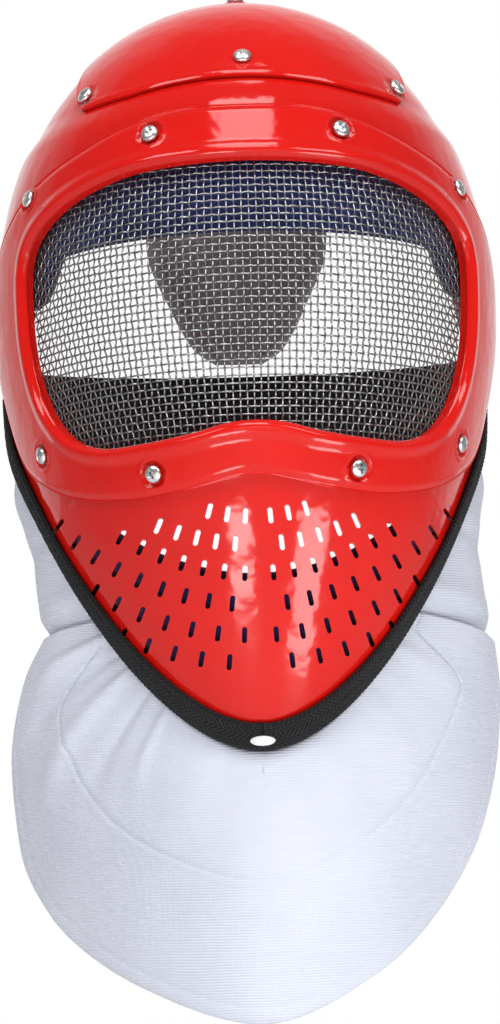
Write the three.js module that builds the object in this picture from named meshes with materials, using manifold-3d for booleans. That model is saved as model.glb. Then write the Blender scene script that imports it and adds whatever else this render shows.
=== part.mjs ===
// Fencing mask with a moulded shell, a woven wire visor and a cloth bib.
// Millimetres, +Z up, the face looks along -Y, and X is across the face.
// The origin is where the top of the wearer's head rests, inside the crown.
import * as THREE from 'three';
import { mergeVertices } from 'three/addons/utils/BufferGeometryUtils.js';
import Module from 'manifold-3d';

const wasm = await Module();
wasm.setup();

// The outer form is a stack of level sections, each half an ellipse to the front and half to the back.
const TOP_Z = 17;
const HALF_WIDTH = 105.2;
const WIDEST_Z = -113;
const WIDTH_POWER = 2.1;
const FRONT_REACH = 128;
const FRONT_Z = -130;
const BACK_REACH = 118;
const DEPTH_POWER = 2.2;
const WALL = 3;
const GAP = 0.3;

// Sections from the widest level down to below the chin.
const LOWER_SECTIONS = [
  { z: -340, halfWidth: 30, front: 60 },
  { z: -303, halfWidth: 50, front: 82 },
  { z: -270, halfWidth: 66, front: 96.5 },
  { z: -241, halfWidth: 78, front: 107.5 },
  { z: -210, halfWidth: 88.5, front: 118 },
  { z: -170, halfWidth: 98.4, front: 126 },
  { z: -130, halfWidth: 104.6, front: 128 },
  { z: WIDEST_Z, halfWidth: HALF_WIDTH, front: 128 },
];
const BOTTOM_Z = LOWER_SECTIONS[0].z;

// The shell's rear edge seen from the side, from the chin past the ear to the back of the crown.
const RIM = [
  { z: -302, y: -82.6 },
  { z: -270, y: -66 },
  { z: -241, y: -52 },
  { z: -200, y: -28 },
  { z: -150, y: 22 },
  { z: -100, y: 45 },
  { z: -50, y: 62 },
  { z: -11, y: 80 },
];
const CHIN_Z = RIM[0].z;
const RIM_STEPS = 36;
const EAR_Z = -150;

// Visor frame, right half, from the middle of the brow to the middle of the nose bar.
const VISOR = [
  { angle: 0, z: -75.2, frameAngle: 0, frameZ: -52.2 },
  { angle: 16, z: -75.8, frameAngle: 14, frameZ: -52.6 },
  { angle: 28, z: -77.5, frameAngle: 27, frameZ: -56 },
  { angle: 40, z: -82.5, frameAngle: 41, frameZ: -63.5 },
  { angle: 49, z: -89, frameAngle: 54, frameZ: -71 },
  { angle: 55, z: -97, frameAngle: 65, frameZ: -81 },
  { angle: 57.5, z: -108, frameAngle: 75, frameZ: -97 },
  { angle: 57.8, z: -130, frameAngle: 79.5, frameZ: -128 },
  { angle: 57, z: -152, frameAngle: 78, frameZ: -160 },
  { angle: 54, z: -167, frameAngle: 72.5, frameZ: -182 },
  { angle: 47.5, z: -179, frameAngle: 61, frameZ: -194.5 },
  { angle: 38, z: -184.8, frameAngle: 48, frameZ: -202.3 },
  { angle: 26, z: -185, frameAngle: 32, frameZ: -206 },
  { angle: 15, z: -183, frameAngle: 18, frameZ: -204.5 },
  { angle: 7, z: -180, frameAngle: 8, frameZ: -201.5 },
  { angle: 0, z: -179, frameAngle: 0, frameZ: -199.4 },
];
// Across the frame from the opening outwards: a rounded lip, a flat band and a stepped outer edge.
const FRAME_SECTION = [
  { across: 0, lift: 0.7 },
  { across: 0, lift: 2.8 },
  { across: 0.08, lift: 4.4 },
  { across: 0.26, lift: 4 },
  { across: 0.36, lift: 3.2 },
  { across: 0.92, lift: 3 },
  { across: 1, lift: 1.4 },
  { across: 1, lift: 0.7 },
  { across: 0.5, lift: 1.3 },
];
const VISOR_STATIONS = 44;
const VISOR_CENTRE_Z = -130;
// A plug for the visor opening reaches this far out of the form and into it before it narrows.
const PLUG_OUT = 8;
const PLUG_IN = 12;
const PLUG_TIP_Y = -400;
const PLUG_TAIL_Y = -20;

// Vent slots in rows under the visor: the outer slots of a row sit higher.
const SLOT_ROWS = [
  { z: -215.5, rise: 0.018, firstAngle: 3.2, step: 4.6, count: 3 },
  { z: -226, rise: 0.013, firstAngle: 6.2, step: 5.1, count: 5 },
  { z: -237, rise: 0.0118, firstAngle: 4, step: 5.8, count: 7 },
  { z: -248.8, rise: 0.0095, firstAngle: 8.2, step: 7, count: 9 },
  { z: -260.5, rise: 0.0074, firstAngle: 5.1, step: 8.4, count: 7 },
  { z: -271, rise: 0.006, firstAngle: 10.8, step: 9.6, count: 5 },
];
const SLOT_WIDTH = 2;
const SLOT_LENGTH = 6.2;
const SLOT_DEPTH = 24;

// The crown plate sits in a shallow step of the shell.
const PLATE_THICKNESS = 1.6;
const STEP_DEPTH = 2.1;
const STEP_FROM_Z = -52;
const STEP_TO_Z = -38;
// Lower edge of the crown plate seen from the side, front to back.
const PLATE_EDGE = [
  { y: -140, z: -34.5 },
  { y: -104, z: -36 },
  { y: -91, z: -40 },
  { y: -72, z: -41.5 },
  { y: -60, z: -33 },
  { y: -46, z: -21 },
  { y: -21, z: -3 },
  { y: 10, z: 4 },
  { y: 40, z: 2 },
  { y: 72, z: -12 },
];
const BOSS_RADIUS = 5.5;
const BOSS_HEIGHT = 1.6;
const BOSS_ROOT = 1.6;

// Screws: places on the outer form, with the height of the surface that the head rests over.
const SCREW_HEAD_RADIUS = 3.6;
const SCREW_HEAD_HEIGHT = 2.4;
const SCREW_SHANK_RADIUS = 1.6;
const SCREW_SHANK_LENGTH = 6.5;
const RECESS_RADIUS = 5.2;
const RECESS_LIFT = 2;
const RECESS_SIDES = 10;
const RECESS_TOP = 8;
const HOLE_SIDES = 8;
const HOLE_REACH = 14;
const SCREW_SIDES = 8;
const ROUND_SIDES = 16;
const FRAME_SCREWS = [
  { angle: 22, z: -62.5 },
  { angle: 57.3, z: -77.2 },
  { angle: 59.5, z: -181.5 },
  { angle: 24.8, z: -196.8 },
];
const PLATE_SCREWS = [
  { angle: 0, z: -28 },
  { angle: -47.3, z: -35 },
  { angle: 47.3, z: -35 },
];
// The topmost screw stands on a boss just in front of the top of the crown.
const TOP_SCREW = { angle: 0, z: 15.9 };

// The folded webbing in section, a channel round the shell's edge: past the edge, and out from the face.
const TRIM_SECTION = [
  { past: -9, lift: 0.8 },
  { past: -9, lift: 2.6 },
  { past: 1.8, lift: 2.6 },
  { past: 2.9, lift: 1 },
  { past: 2.9, lift: -4.5 },
  { past: 1.8, lift: -6.1 },
  { past: -9, lift: -6.1 },
  { past: -9, lift: -4.3 },
  { past: 1.2, lift: -4.3 },
  { past: 1.2, lift: 0.8 },
];
const TRIM_PAST_EDGE = 2.9;
const TRIM_LIFT = 2.6;
const TRIM_STATIONS = 40;
// Share of the trim's height that grows with the square of the way round, so stations crowd at the chin.
const CHIN_CROWDING = 0.8;
const RIVET = { halfLength: 5, halfHeight: 2.1, thickness: 1.2, past: -2.6 };

// The wire screen lies inside the shell and runs a little past the opening.
const SCREEN_OFFSET = -3.4;
const SCREEN_THICKNESS = 1.6;
const SCREEN_MARGIN = 5;

const PAD_OFFSET = -5.6;
const PAD_THICKNESS = 8.6;
// The head pad seen from the side: brow edge, temple lobes, and over the crown.
const PAD_OUTLINE = [
  { y: -140, z: -102 },
  { y: -74, z: -102 },
  { y: -68, z: -116 },
  { y: -58, z: -121 },
  { y: -46, z: -119 },
  { y: -36, z: -106 },
  { y: -26, z: -84 },
  { y: 0, z: -58 },
  { y: 40, z: -46 },
  { y: 40, z: 60 },
  { y: -140, z: 60 },
];

// The chin pad lies behind the lower rows of slots and stops short of the trim; seen from the side.
const CHIN_PAD_OFFSET = -3.6;
const CHIN_PAD_THICKNESS = 5.4;
const CHIN_PAD_OUTLINE = [
  { y: -140, z: -238.5 },
  { y: -108.5, z: -238.5 },
  { y: -103, z: -234.3 },
  { y: -88.6, z: -222.5 },
  { y: -68, z: -206.7 },
  { y: -52, z: -196 },
  { y: -44, z: -202 },
  { y: -62.6, z: -235.2 },
  { y: -76.8, z: -264.8 },
  { y: -88, z: -286 },
  { y: -140, z: -286 },
];

// The tongue seen from behind: half of its outline.
const TONGUE_OUTLINE = [
  { x: 46, z: 10 },
  { x: 45, z: -58 },
  { x: 34, z: -88 },
  { x: 22, z: -110 },
  { x: 12, z: -117 },
];
const TONGUE_OFFSET = -4;
const TONGUE_THICKNESS = 8;
const TONGUE_FRONT_Y = 44;
const TONGUE_REACH = 150;

const STRAP_OFFSET = -3.8;
const STRAP_THICKNESS = 1.8;
// The strap seen from the side: narrow ends inside the shell, wide behind the head.
const STRAP_OUTLINE = [
  { y: 12, z: -134 },
  { y: 130, z: -121 },
  { y: 130, z: -162 },
  { y: 50, z: -162 },
  { y: 32, z: -143 },
  { y: 12, z: -143 },
];

// Bib: stations run round the rim, and each hangs from the rim's height to a point on the hem.
const CLOTH_THICKNESS = 2.4;
const CLOTH_BULGE = 9;
// A bib that hangs at least this far has the whole bulge.
const FULL_BULGE_DROP = 60;
const NECK_AXIS_Y = 20;
const BIB_FRONT = [
  { rimZ: -247, side: -1, x: -86, y: -34, z: -254 },
  { rimZ: -259, side: -1, x: -96, y: -22, z: -273 },
  { rimZ: -270, side: -1, x: -102, y: -14, z: -305 },
  { rimZ: -281, side: -1, x: -99, y: -18, z: -340 },
  { rimZ: -290, side: -1, x: -86, y: -36, z: -368 },
  { rimZ: -298, side: -1, x: -52, y: -70, z: -395 },
  { rimZ: -302, side: 1, x: -3, y: -92, z: -411 },
  { rimZ: -298, side: 1, x: 42, y: -79, z: -393 },
  { rimZ: -290, side: 1, x: 74, y: -51, z: -363 },
  { rimZ: -281, side: 1, x: 91, y: -28, z: -334 },
  { rimZ: -270, side: 1, x: 99, y: -16, z: -304 },
  { rimZ: -259, side: 1, x: 101, y: -14, z: -280 },
  { rimZ: -247, side: 1, x: 99, y: -18, z: -259 },
];
const BIB_LEFT = [
  { rimZ: -244, side: -1, x: -86, y: -30, z: -250 },
  { rimZ: -225, side: -1, x: -89, y: -12, z: -236 },
  { rimZ: -203, side: -1, x: -92, y: 2, z: -212 },
  { rimZ: -180, side: -1, x: -96, y: 14, z: -190 },
  { rimZ: -160, side: -1, x: -99, y: 26, z: -168 },
];
const BIB_RIGHT = [
  { rimZ: -160, side: 1, x: 99, y: 26, z: -168 },
  { rimZ: -180, side: 1, x: 96, y: 14, z: -190 },
  { rimZ: -203, side: 1, x: 95, y: 2, z: -212 },
  { rimZ: -225, side: 1, x: 96, y: -8, z: -236 },
  { rimZ: -244, side: 1, x: 98, y: -14, z: -255 },
];

// Blocks that cut the form reach past it to these places.
const AHEAD_Y = -200;
const ABOVE_Z = 60;

const FORM_COLUMNS = 32;
const CROWN_LEVELS = 8;
const LOWER_LEVELS = 10;

// ---- small tools ----

const radians = THREE.MathUtils.degToRad;

// Monotone cubic curve through one column of a table, read at a value of another column.
function along(rows, key, column, at) {
  const last = rows.length - 1;
  const slope = (i) => (rows[i + 1][column] - rows[i][column]) / (rows[i + 1][key] - rows[i][key]);
  const tangent = (i) => {
    if (i === 0) return slope(0);
    if (i === last) return slope(last - 1);
    const [before, after] = [slope(i - 1), slope(i)];
    return before * after <= 0 ? 0 : (2 * before * after) / (before + after);
  };
  let i = 0;
  while (i < last - 1 && at > rows[i + 1][key]) i += 1;
  const span = rows[i + 1][key] - rows[i][key];
  const t = THREE.MathUtils.clamp((at - rows[i][key]) / span, 0, 1);
  const [t2, t3] = [t * t, t * t * t];
  return (2 * t3 - 3 * t2 + 1) * rows[i][column] + (t3 - 2 * t2 + t) * span * tangent(i)
    + (3 * t2 - 2 * t3) * rows[i + 1][column] + (t3 - t2) * span * tangent(i + 1);
}

// Radius of a rounded dome that ends at the top of the crown.
function dome(z, centreZ, power) {
  const height = THREE.MathUtils.clamp((z - centreZ) / (TOP_Z - centreZ), 0, 1);
  return Math.max(0, 1 - height ** power) ** (1 / power);
}

function halfWidthAt(z) {
  if (z > WIDEST_Z) return HALF_WIDTH * dome(z, WIDEST_Z, WIDTH_POWER);
  return along(LOWER_SECTIONS, 'z', 'halfWidth', z);
}

function frontAt(z) {
  if (z > FRONT_Z) return FRONT_REACH * dome(z, FRONT_Z, DEPTH_POWER);
  return along(LOWER_SECTIONS, 'z', 'front', z);
}

const backAt = (z) => BACK_REACH * dome(z, WIDEST_Z, DEPTH_POWER);

// A point of the outer form: angle from the middle of the face, positive towards +X.
function onForm(angle, z) {
  const turn = radians(angle);
  const reach = Math.cos(turn) > 0 ? frontAt(z) : backAt(z);
  return new THREE.Vector3(halfWidthAt(z) * Math.sin(turn), -reach * Math.cos(turn), z);
}

function normalAt(angle, z) {
  const small = 0.05;
  const round = onForm(angle + small, z).sub(onForm(angle - small, z));
  const up = onForm(angle, Math.min(z + small, TOP_Z)).sub(onForm(angle, z - small));
  return round.cross(up).normalize();
}

const place = (angle, z, lift) => onForm(angle, z).addScaledVector(normalAt(angle, z), lift);

// Depth of the shell's step under the crown plate.
const stepAt = (z) => STEP_DEPTH * THREE.MathUtils.smoothstep(z, STEP_FROM_Z, STEP_TO_Z);

function solidFrom(geometry) {
  const bare = new THREE.BufferGeometry();
  bare.setAttribute('position', geometry.getAttribute('position').clone());
  if (geometry.index) bare.setIndex(geometry.index.clone());
  const merged = mergeVertices(bare, 1e-4);
  return new wasm.Manifold(new wasm.Mesh({
    numProp: 3,
    vertProperties: merged.getAttribute('position').array,
    triVerts: Uint32Array.from(merged.index.array),
  }));
}

function geometryFrom(solid) {
  const mesh = solid.getMesh();
  const geometry = new THREE.BufferGeometry();
  geometry.setAttribute('position', new THREE.BufferAttribute(mesh.vertProperties, 3));
  geometry.setIndex(new THREE.BufferAttribute(mesh.triVerts, 1));
  geometry.computeVertexNormals();
  return geometry;
}

function indexed(points, triangles) {
  const geometry = new THREE.BufferGeometry().setFromPoints(points);
  geometry.setIndex(triangles);
  return geometry;
}

// A closed tube: rings of points with the same count, joined in a loop or capped at both ends.
function ringGeometry(rings, closed) {
  const [count, size] = [rings.length, rings[0].length];
  const triangles = [];
  for (let i = 0; i < (closed ? count : count - 1); i += 1) {
    for (let j = 0; j < size; j += 1) {
      const [a, b] = [i * size + j, i * size + ((j + 1) % size)];
      const [c, d] = [((i + 1) % count) * size + j, ((i + 1) % count) * size + ((j + 1) % size)];
      triangles.push(a, c, b, b, c, d);
    }
  }
  if (!closed) {
    for (let j = 1; j < size - 1; j += 1) {
      const end = (count - 1) * size;
      triangles.push(0, j, j + 1, end, end + j + 1, end + j);
    }
  }
  return indexed(rings.flat(), triangles);
}

// A cloth or sheet of even thickness from a grid of points.
function sheetGeometry(grid, thickness) {
  const [rows, columns] = [grid.length, grid[0].length];
  const face = (side) => grid.map((row, i) => row.map((point, j) => {
    const across = grid[Math.min(i + 1, rows - 1)][j].clone().sub(grid[Math.max(i - 1, 0)][j]);
    const down = row[Math.min(j + 1, columns - 1)].clone().sub(row[Math.max(j - 1, 0)]);
    return point.clone().addScaledVector(down.cross(across).normalize(), (side * thickness) / 2);
  }));
  const [outer, inner] = [face(1), face(-1)];
  const rings = outer.map((row, i) => [...inner[i], ...[...row].reverse()]);
  return ringGeometry(rings, false);
}

// The whole form as a closed solid, moved out by an offset, with or without the step for the plate.
function formSolid(offset, stepped) {
  const levels = [];
  for (let i = 1; i <= CROWN_LEVELS; i += 1) {
    const rise = Math.cos((i / CROWN_LEVELS) * (Math.PI / 2));
    levels.push(WIDEST_Z + (TOP_Z - WIDEST_Z) * rise);
  }
  for (let i = 1; i <= LOWER_LEVELS; i += 1) {
    levels.push(WIDEST_Z + ((BOTTOM_Z - WIDEST_Z) * i) / LOWER_LEVELS);
  }
  const lift = (z) => offset - (stepped ? stepAt(z) : 0);
  const points = [new THREE.Vector3(0, 0, TOP_Z + lift(TOP_Z))];
  for (const z of levels) {
    for (let j = 0; j < FORM_COLUMNS; j += 1) points.push(place((360 * j) / FORM_COLUMNS, z, lift(z)));
  }
  points.push(new THREE.Vector3(0, 0, BOTTOM_Z));
  const triangles = [];
  const at = (level, j) => 1 + level * FORM_COLUMNS + (j % FORM_COLUMNS);
  for (let j = 0; j < FORM_COLUMNS; j += 1) {
    triangles.push(0, at(0, j), at(0, j + 1));
    for (let i = 0; i < levels.length - 1; i += 1) {
      triangles.push(at(i, j), at(i + 1, j), at(i, j + 1), at(i, j + 1), at(i + 1, j), at(i + 1, j + 1));
    }
    triangles.push(points.length - 1, at(levels.length - 1, j + 1), at(levels.length - 1, j));
  }
  return solidFrom(indexed(points, triangles));
}

const layer = (outer, inner, stepped) => formSolid(outer, stepped).subtract(formSolid(inner, stepped));

// A block that runs right across the mask, with its outline given in the side view.
function acrossBlock(outline) {
  const shape = new THREE.Shape(outline.map(({ y, z }) => new THREE.Vector2(y, z)));
  const width = 4 * HALF_WIDTH;
  const geometry = new THREE.ExtrudeGeometry(shape, { depth: width, bevelEnabled: false });
  geometry.translate(0, 0, -width / 2);
  const [x, y, z] = [new THREE.Vector3(1, 0, 0), new THREE.Vector3(0, 1, 0), new THREE.Vector3(0, 0, 1)];
  geometry.applyMatrix4(new THREE.Matrix4().makeBasis(y, z, x));
  return solidFrom(geometry);
}

// ---- the rim ----

const rimY = (z) => along(RIM, 'z', 'y', z);

function rimAngle(z) {
  const y = rimY(z);
  const reach = y < 0 ? frontAt(z) : backAt(z);
  return THREE.MathUtils.radToDeg(Math.acos(THREE.MathUtils.clamp(-y / reach, -1, 1)));
}

// Everything in front of the rear edge.
function frontOfRim() {
  const last = RIM[RIM.length - 1];
  const outline = [{ y: AHEAD_Y, z: CHIN_Z }];
  for (let i = 0; i <= RIM_STEPS; i += 1) {
    const z = CHIN_Z + ((last.z - CHIN_Z) * i) / RIM_STEPS;
    outline.push({ y: rimY(z), z });
  }
  outline.push({ y: last.y, z: ABOVE_Z }, { y: AHEAD_Y, z: ABOVE_Z });
  return acrossBlock(outline);
}

// A point beside the rim: past is measured along the shell beyond its edge, lift away from the face.
function besideRim(side, z, past, lift) {
  const angle = side * rimAngle(z);
  const normal = normalAt(angle, z);
  const small = 0.5;
  const ahead = onForm(side * rimAngle(z + small), z + small);
  const behind = onForm(side * rimAngle(z - small), z - small);
  const tangent = z - small < CHIN_Z ? new THREE.Vector3(side, 0, 0.01) : ahead.sub(behind);
  const outward = tangent.normalize().cross(normal).multiplyScalar(side).normalize();
  return onForm(angle, z).addScaledVector(normal, lift).addScaledVector(outward, past);
}

// ---- the visor ----

function loopOf(angleKey, heightKey) {
  const right = VISOR.map((row) => new THREE.Vector3(row[angleKey], row[heightKey], 0));
  const left = right.slice(1, -1).reverse().map((point) => new THREE.Vector3(-point.x, point.y, 0));
  return new THREE.CatmullRomCurve3([...right, ...left], true, 'catmullrom', 0.5);
}
const visorLoop = loopOf('angle', 'z');
const frameLoop = loopOf('frameAngle', 'frameZ');

// A solid that passes through the visor opening, grown outwards over the form by a margin.
function visorPlug(margin) {
  const centre = new THREE.Vector3(0, VISOR_CENTRE_Z, 0);
  const [points, triangles] = [[], []];
  for (let i = 0; i < VISOR_STATIONS; i += 1) {
    const edge = visorLoop.getPoint(i / VISOR_STATIONS);
    const { x, y } = edge.clone().addScaledVector(edge.sub(centre).normalize(), margin);
    points.push(place(x, y, PLUG_OUT), place(x, y, -PLUG_IN));
  }
  const [front, back] = [points.length, points.length + 1];
  points.push(new THREE.Vector3(0, PLUG_TIP_Y, WIDEST_Z), new THREE.Vector3(0, PLUG_TAIL_Y, WIDEST_Z));
  for (let i = 0; i < VISOR_STATIONS; i += 1) {
    const [a, b] = [2 * i, 2 * ((i + 1) % VISOR_STATIONS)];
    triangles.push(front, b, a, back, a + 1, b + 1, a, b, b + 1, a, b + 1, a + 1);
  }
  return solidFrom(indexed(points, triangles));
}

// ---- cutters and screws ----

// A solid of revolution set on the form, its axis along the surface normal.
function turnedAt(profile, segments, angle, z, lift) {
  const geometry = new THREE.LatheGeometry(profile.map(([r, h]) => new THREE.Vector2(r, h)), segments);
  const up = new THREE.Vector3(0, 1, 0);
  const turn = new THREE.Quaternion().setFromUnitVectors(up, normalAt(angle, z));
  geometry.applyQuaternion(turn);
  const at = place(angle, z, lift);
  return geometry.translate(at.x, at.y, at.z);
}

const pin = (radius, from, to) => [[0, from], [radius, from], [radius, to], [0, to]];

const screwProfile = [
  [0, -SCREW_SHANK_LENGTH],
  [SCREW_SHANK_RADIUS, -SCREW_SHANK_LENGTH],
  [SCREW_SHANK_RADIUS, 0],
  [SCREW_HEAD_RADIUS, 0],
  [SCREW_HEAD_RADIUS, SCREW_HEAD_HEIGHT * 0.4],
  [SCREW_HEAD_RADIUS * 0.7, SCREW_HEAD_HEIGHT],
  [0, SCREW_HEAD_HEIGHT],
];

const frameScrewPlaces = FRAME_SCREWS.flatMap(({ angle, z }) => [{ angle: -angle, z }, { angle, z }]);

const clearance = pin(SCREW_SHANK_RADIUS + GAP, -HOLE_REACH, HOLE_REACH);
const screwHole = ({ angle, z }) => solidFrom(turnedAt(clearance, HOLE_SIDES, angle, z, 0));

// A slot runs straight back through the wall, and stands square to its row as seen from the front.
function slotCutter({ angle, z, slope }) {
  const row = onForm(angle + 1, z + slope).sub(onForm(angle - 1, z - slope));
  const geometry = new THREE.BoxGeometry(SLOT_WIDTH, SLOT_DEPTH, SLOT_LENGTH);
  geometry.rotateY(-Math.atan2(row.z, row.x));
  const at = onForm(angle, z);
  return solidFrom(geometry.translate(at.x, at.y, at.z));
}

const slotPlaces = SLOT_ROWS.flatMap(({ z, rise, firstAngle, step, count }) => {
  const places = [];
  for (let i = 0; i < count; i += 1) {
    const angle = firstAngle + step * i;
    const height = z + rise * angle * angle;
    const slope = 2 * rise * angle;
    places.push({ angle, z: height, slope }, { angle: -angle, z: height, slope: -slope });
  }
  return places;
});

const without = (solid, cutters) => cutters.reduce((rest, cutter) => rest.subtract(cutter), solid);

// ---- the pieces ----

function faceShell() {
  const whole = layer(0, -WALL, true).intersect(frontOfRim()).subtract(visorPlug(1));
  const holes = [...frameScrewPlaces, ...PLATE_SCREWS, TOP_SCREW].map(screwHole);
  return without(whole, [...holes, ...slotPlaces.map(slotCutter)]);
}

function crownPlate() {
  const first = PLATE_EDGE[0];
  const last = PLATE_EDGE[PLATE_EDGE.length - 1];
  const block = acrossBlock([...PLATE_EDGE, { y: last.y, z: ABOVE_Z }, { y: first.y, z: ABOVE_Z }]);
  const bossPin = pin(BOSS_RADIUS, -BOSS_ROOT, BOSS_HEIGHT);
  const boss = solidFrom(turnedAt(bossPin, ROUND_SIDES, TOP_SCREW.angle, TOP_SCREW.z, 0));
  const plate = layer(0, -PLATE_THICKNESS, false).intersect(block).add(boss);
  return without(plate, [...PLATE_SCREWS, TOP_SCREW].map(screwHole));
}

function visorFrame() {
  const rings = [];
  for (let i = 0; i < VISOR_STATIONS; i += 1) {
    const inner = visorLoop.getPoint(i / VISOR_STATIONS);
    const outer = frameLoop.getPoint(i / VISOR_STATIONS);
    rings.push(FRAME_SECTION.map(({ across, lift }) => {
      const spot = inner.clone().lerp(outer, across);
      return place(spot.x, spot.y, lift);
    }));
  }
  const band = solidFrom(ringGeometry(rings, true));
  const recess = pin(RECESS_RADIUS, 0, RECESS_TOP);
  const recesses = frameScrewPlaces.map(({ angle, z }) => (
    solidFrom(turnedAt(recess, RECESS_SIDES, angle, z, RECESS_LIFT))));
  return without(band, [...recesses, ...frameScrewPlaces.map(screwHole)]);
}

function visorScreen() {
  const sheet = layer(SCREEN_OFFSET, SCREEN_OFFSET - SCREEN_THICKNESS, true);
  return sheet.intersect(visorPlug(SCREEN_MARGIN));
}

// Webbing folded over the shell's edge from ear to ear; stations draw together at the chin.
function edgeTrim() {
  const half = TRIM_STATIONS / 2;
  const rings = [];
  for (let i = -half; i <= half; i += 1) {
    const side = i < 0 ? -1 : 1;
    const share = Math.abs(i) / half;
    const rise = CHIN_CROWDING * share ** 2 + (1 - CHIN_CROWDING) * share;
    const z = CHIN_Z + (EAR_Z - CHIN_Z) * rise;
    rings.push(TRIM_SECTION.map(({ past, lift }) => besideRim(side, z, past, lift)).reverse());
  }
  return solidFrom(ringGeometry(rings, false));
}

function chinRivet() {
  const { halfLength, halfHeight, thickness } = RIVET;
  const profile = [[0, 0], [1, 0], [1, 0.5 * thickness], [0.75, thickness], [0, thickness]];
  const geometry = new THREE.LatheGeometry(
    profile.map(([r, h]) => new THREE.Vector2(r, h)),
    ROUND_SIDES,
  );
  geometry.scale(halfLength, 1, halfHeight);
  const up = new THREE.Vector3(0, 1, 0);
  geometry.applyQuaternion(new THREE.Quaternion().setFromUnitVectors(up, normalAt(0, CHIN_Z)));
  const at = besideRim(1, CHIN_Z, RIVET.past, TRIM_LIFT + GAP);
  return geometry.translate(at.x, at.y, at.z);
}

// A bib piece hangs from just past the trim to its hem and swells outwards between them.
function bibPiece(stations, perStation, downCount) {
  const last = stations.length - 1;
  const numbered = stations.map((row, i) => ({ ...row, i, rimX: row.side * rimAngle(row.rimZ) }));
  const grid = [];
  for (let k = 0; k <= last * perStation; k += 1) {
    const at = k / perStation;
    const read = (column) => along(numbered, 'i', column, at);
    const rimZ = Math.max(read('rimZ'), CHIN_Z + 0.02);
    const side = read('rimX') < 0 ? -1 : 1;
    const top = besideRim(side, rimZ, TRIM_PAST_EDGE + GAP + CLOTH_THICKNESS / 2, -WALL / 2);
    const hem = new THREE.Vector3(read('x'), read('y'), read('z'));
    const bulge = CLOTH_BULGE * Math.min(1, top.distanceTo(hem) / FULL_BULGE_DROP);
    const row = [];
    for (let j = 0; j <= downCount; j += 1) {
      const share = j / downCount;
      const point = top.clone().lerp(hem, share);
      const out = new THREE.Vector3(point.x, point.y - NECK_AXIS_Y, 0).normalize();
      row.push(point.addScaledVector(out, bulge * Math.sin(Math.PI * share)));
    }
    grid.push(row);
  }
  return sheetGeometry(grid, CLOTH_THICKNESS);
}

function headPad() {
  return layer(PAD_OFFSET, PAD_OFFSET - PAD_THICKNESS, true).intersect(acrossBlock(PAD_OUTLINE));
}

function chinPad() {
  const sheet = layer(CHIN_PAD_OFFSET, CHIN_PAD_OFFSET - CHIN_PAD_THICKNESS, true);
  return sheet.intersect(acrossBlock(CHIN_PAD_OUTLINE));
}

function rearTongue() {
  const right = TONGUE_OUTLINE.map(({ x, z }) => new THREE.Vector2(x, z));
  const left = [...right].reverse().map(({ x, y }) => new THREE.Vector2(-x, y));
  const geometry = new THREE.ExtrudeGeometry(new THREE.Shape([...right, ...left]), {
    depth: TONGUE_REACH,
    bevelEnabled: false,
  });
  geometry.rotateX(Math.PI / 2).translate(0, TONGUE_FRONT_Y + TONGUE_REACH, 0);
  const sheet = layer(TONGUE_OFFSET, TONGUE_OFFSET - TONGUE_THICKNESS, true);
  return sheet.intersect(solidFrom(geometry));
}

function rearStrap() {
  const band = layer(STRAP_OFFSET, STRAP_OFFSET - STRAP_THICKNESS, true);
  return band.intersect(acrossBlock(STRAP_OUTLINE));
}

// ---- the assembly ----

const materials = {
  red: new THREE.MeshStandardMaterial({ color: 0xd81b10, roughness: 0.18, metalness: 0 }),
  steel: new THREE.MeshStandardMaterial({ color: 0xb8babd, roughness: 0.3, metalness: 1 }),
  webbing: new THREE.MeshStandardMaterial({ color: 0x222326, roughness: 0.9, metalness: 0 }),
  cloth: new THREE.MeshStandardMaterial({ color: 0xdfe3ef, roughness: 0.85, metalness: 0 }),
  blue: new THREE.MeshStandardMaterial({ color: 0x1f2f70, roughness: 0.85, metalness: 0 }),
  grey: new THREE.MeshStandardMaterial({ color: 0x8b8587, roughness: 0.9, metalness: 0 }),
  white: new THREE.MeshStandardMaterial({ color: 0xe8e8e8, roughness: 0.4, metalness: 0 }),
};

const mask = new THREE.Group();

function add(name, geometry, material) {
  const mesh = new THREE.Mesh(geometry, material);
  mesh.name = name;
  mask.add(mesh);
}

add('face_shell', geometryFrom(faceShell()), materials.red);
add('crown_plate', geometryFrom(crownPlate()), materials.red);
add('visor_frame', geometryFrom(visorFrame()), materials.red);
add('visor_mesh', geometryFrom(visorScreen()), materials.steel);
frameScrewPlaces.forEach(({ angle, z }, i) => {
  const screw = turnedAt(screwProfile, SCREW_SIDES, angle, z, RECESS_LIFT + GAP);
  add(`frame_screw_${i + 1}`, geometryFrom(solidFrom(screw)), materials.steel);
});
[...PLATE_SCREWS, TOP_SCREW].forEach(({ angle, z }, i) => {
  const seat = i < PLATE_SCREWS.length ? 0 : BOSS_HEIGHT;
  const screw = turnedAt(screwProfile, SCREW_SIDES, angle, z, seat + GAP);
  add(`crown_screw_${i + 1}`, geometryFrom(solidFrom(screw)), materials.steel);
});
add('edge_trim', geometryFrom(edgeTrim()), materials.webbing);
add('chin_rivet', geometryFrom(solidFrom(chinRivet())), materials.white);
add('bib_front', geometryFrom(solidFrom(bibPiece(BIB_FRONT, 2, 6))), materials.cloth);
add('bib_side_left', geometryFrom(solidFrom(bibPiece(BIB_LEFT, 2, 3))), materials.cloth);
add('bib_side_right', geometryFrom(solidFrom(bibPiece(BIB_RIGHT, 2, 3))), materials.cloth);
add('head_pad', geometryFrom(headPad()), materials.blue);
add('chin_pad', geometryFrom(chinPad()), materials.blue);
add('rear_tongue', geometryFrom(rearTongue()), materials.grey);
add('rear_strap', geometryFrom(rearStrap()), materials.webbing);

export default mask;
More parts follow.
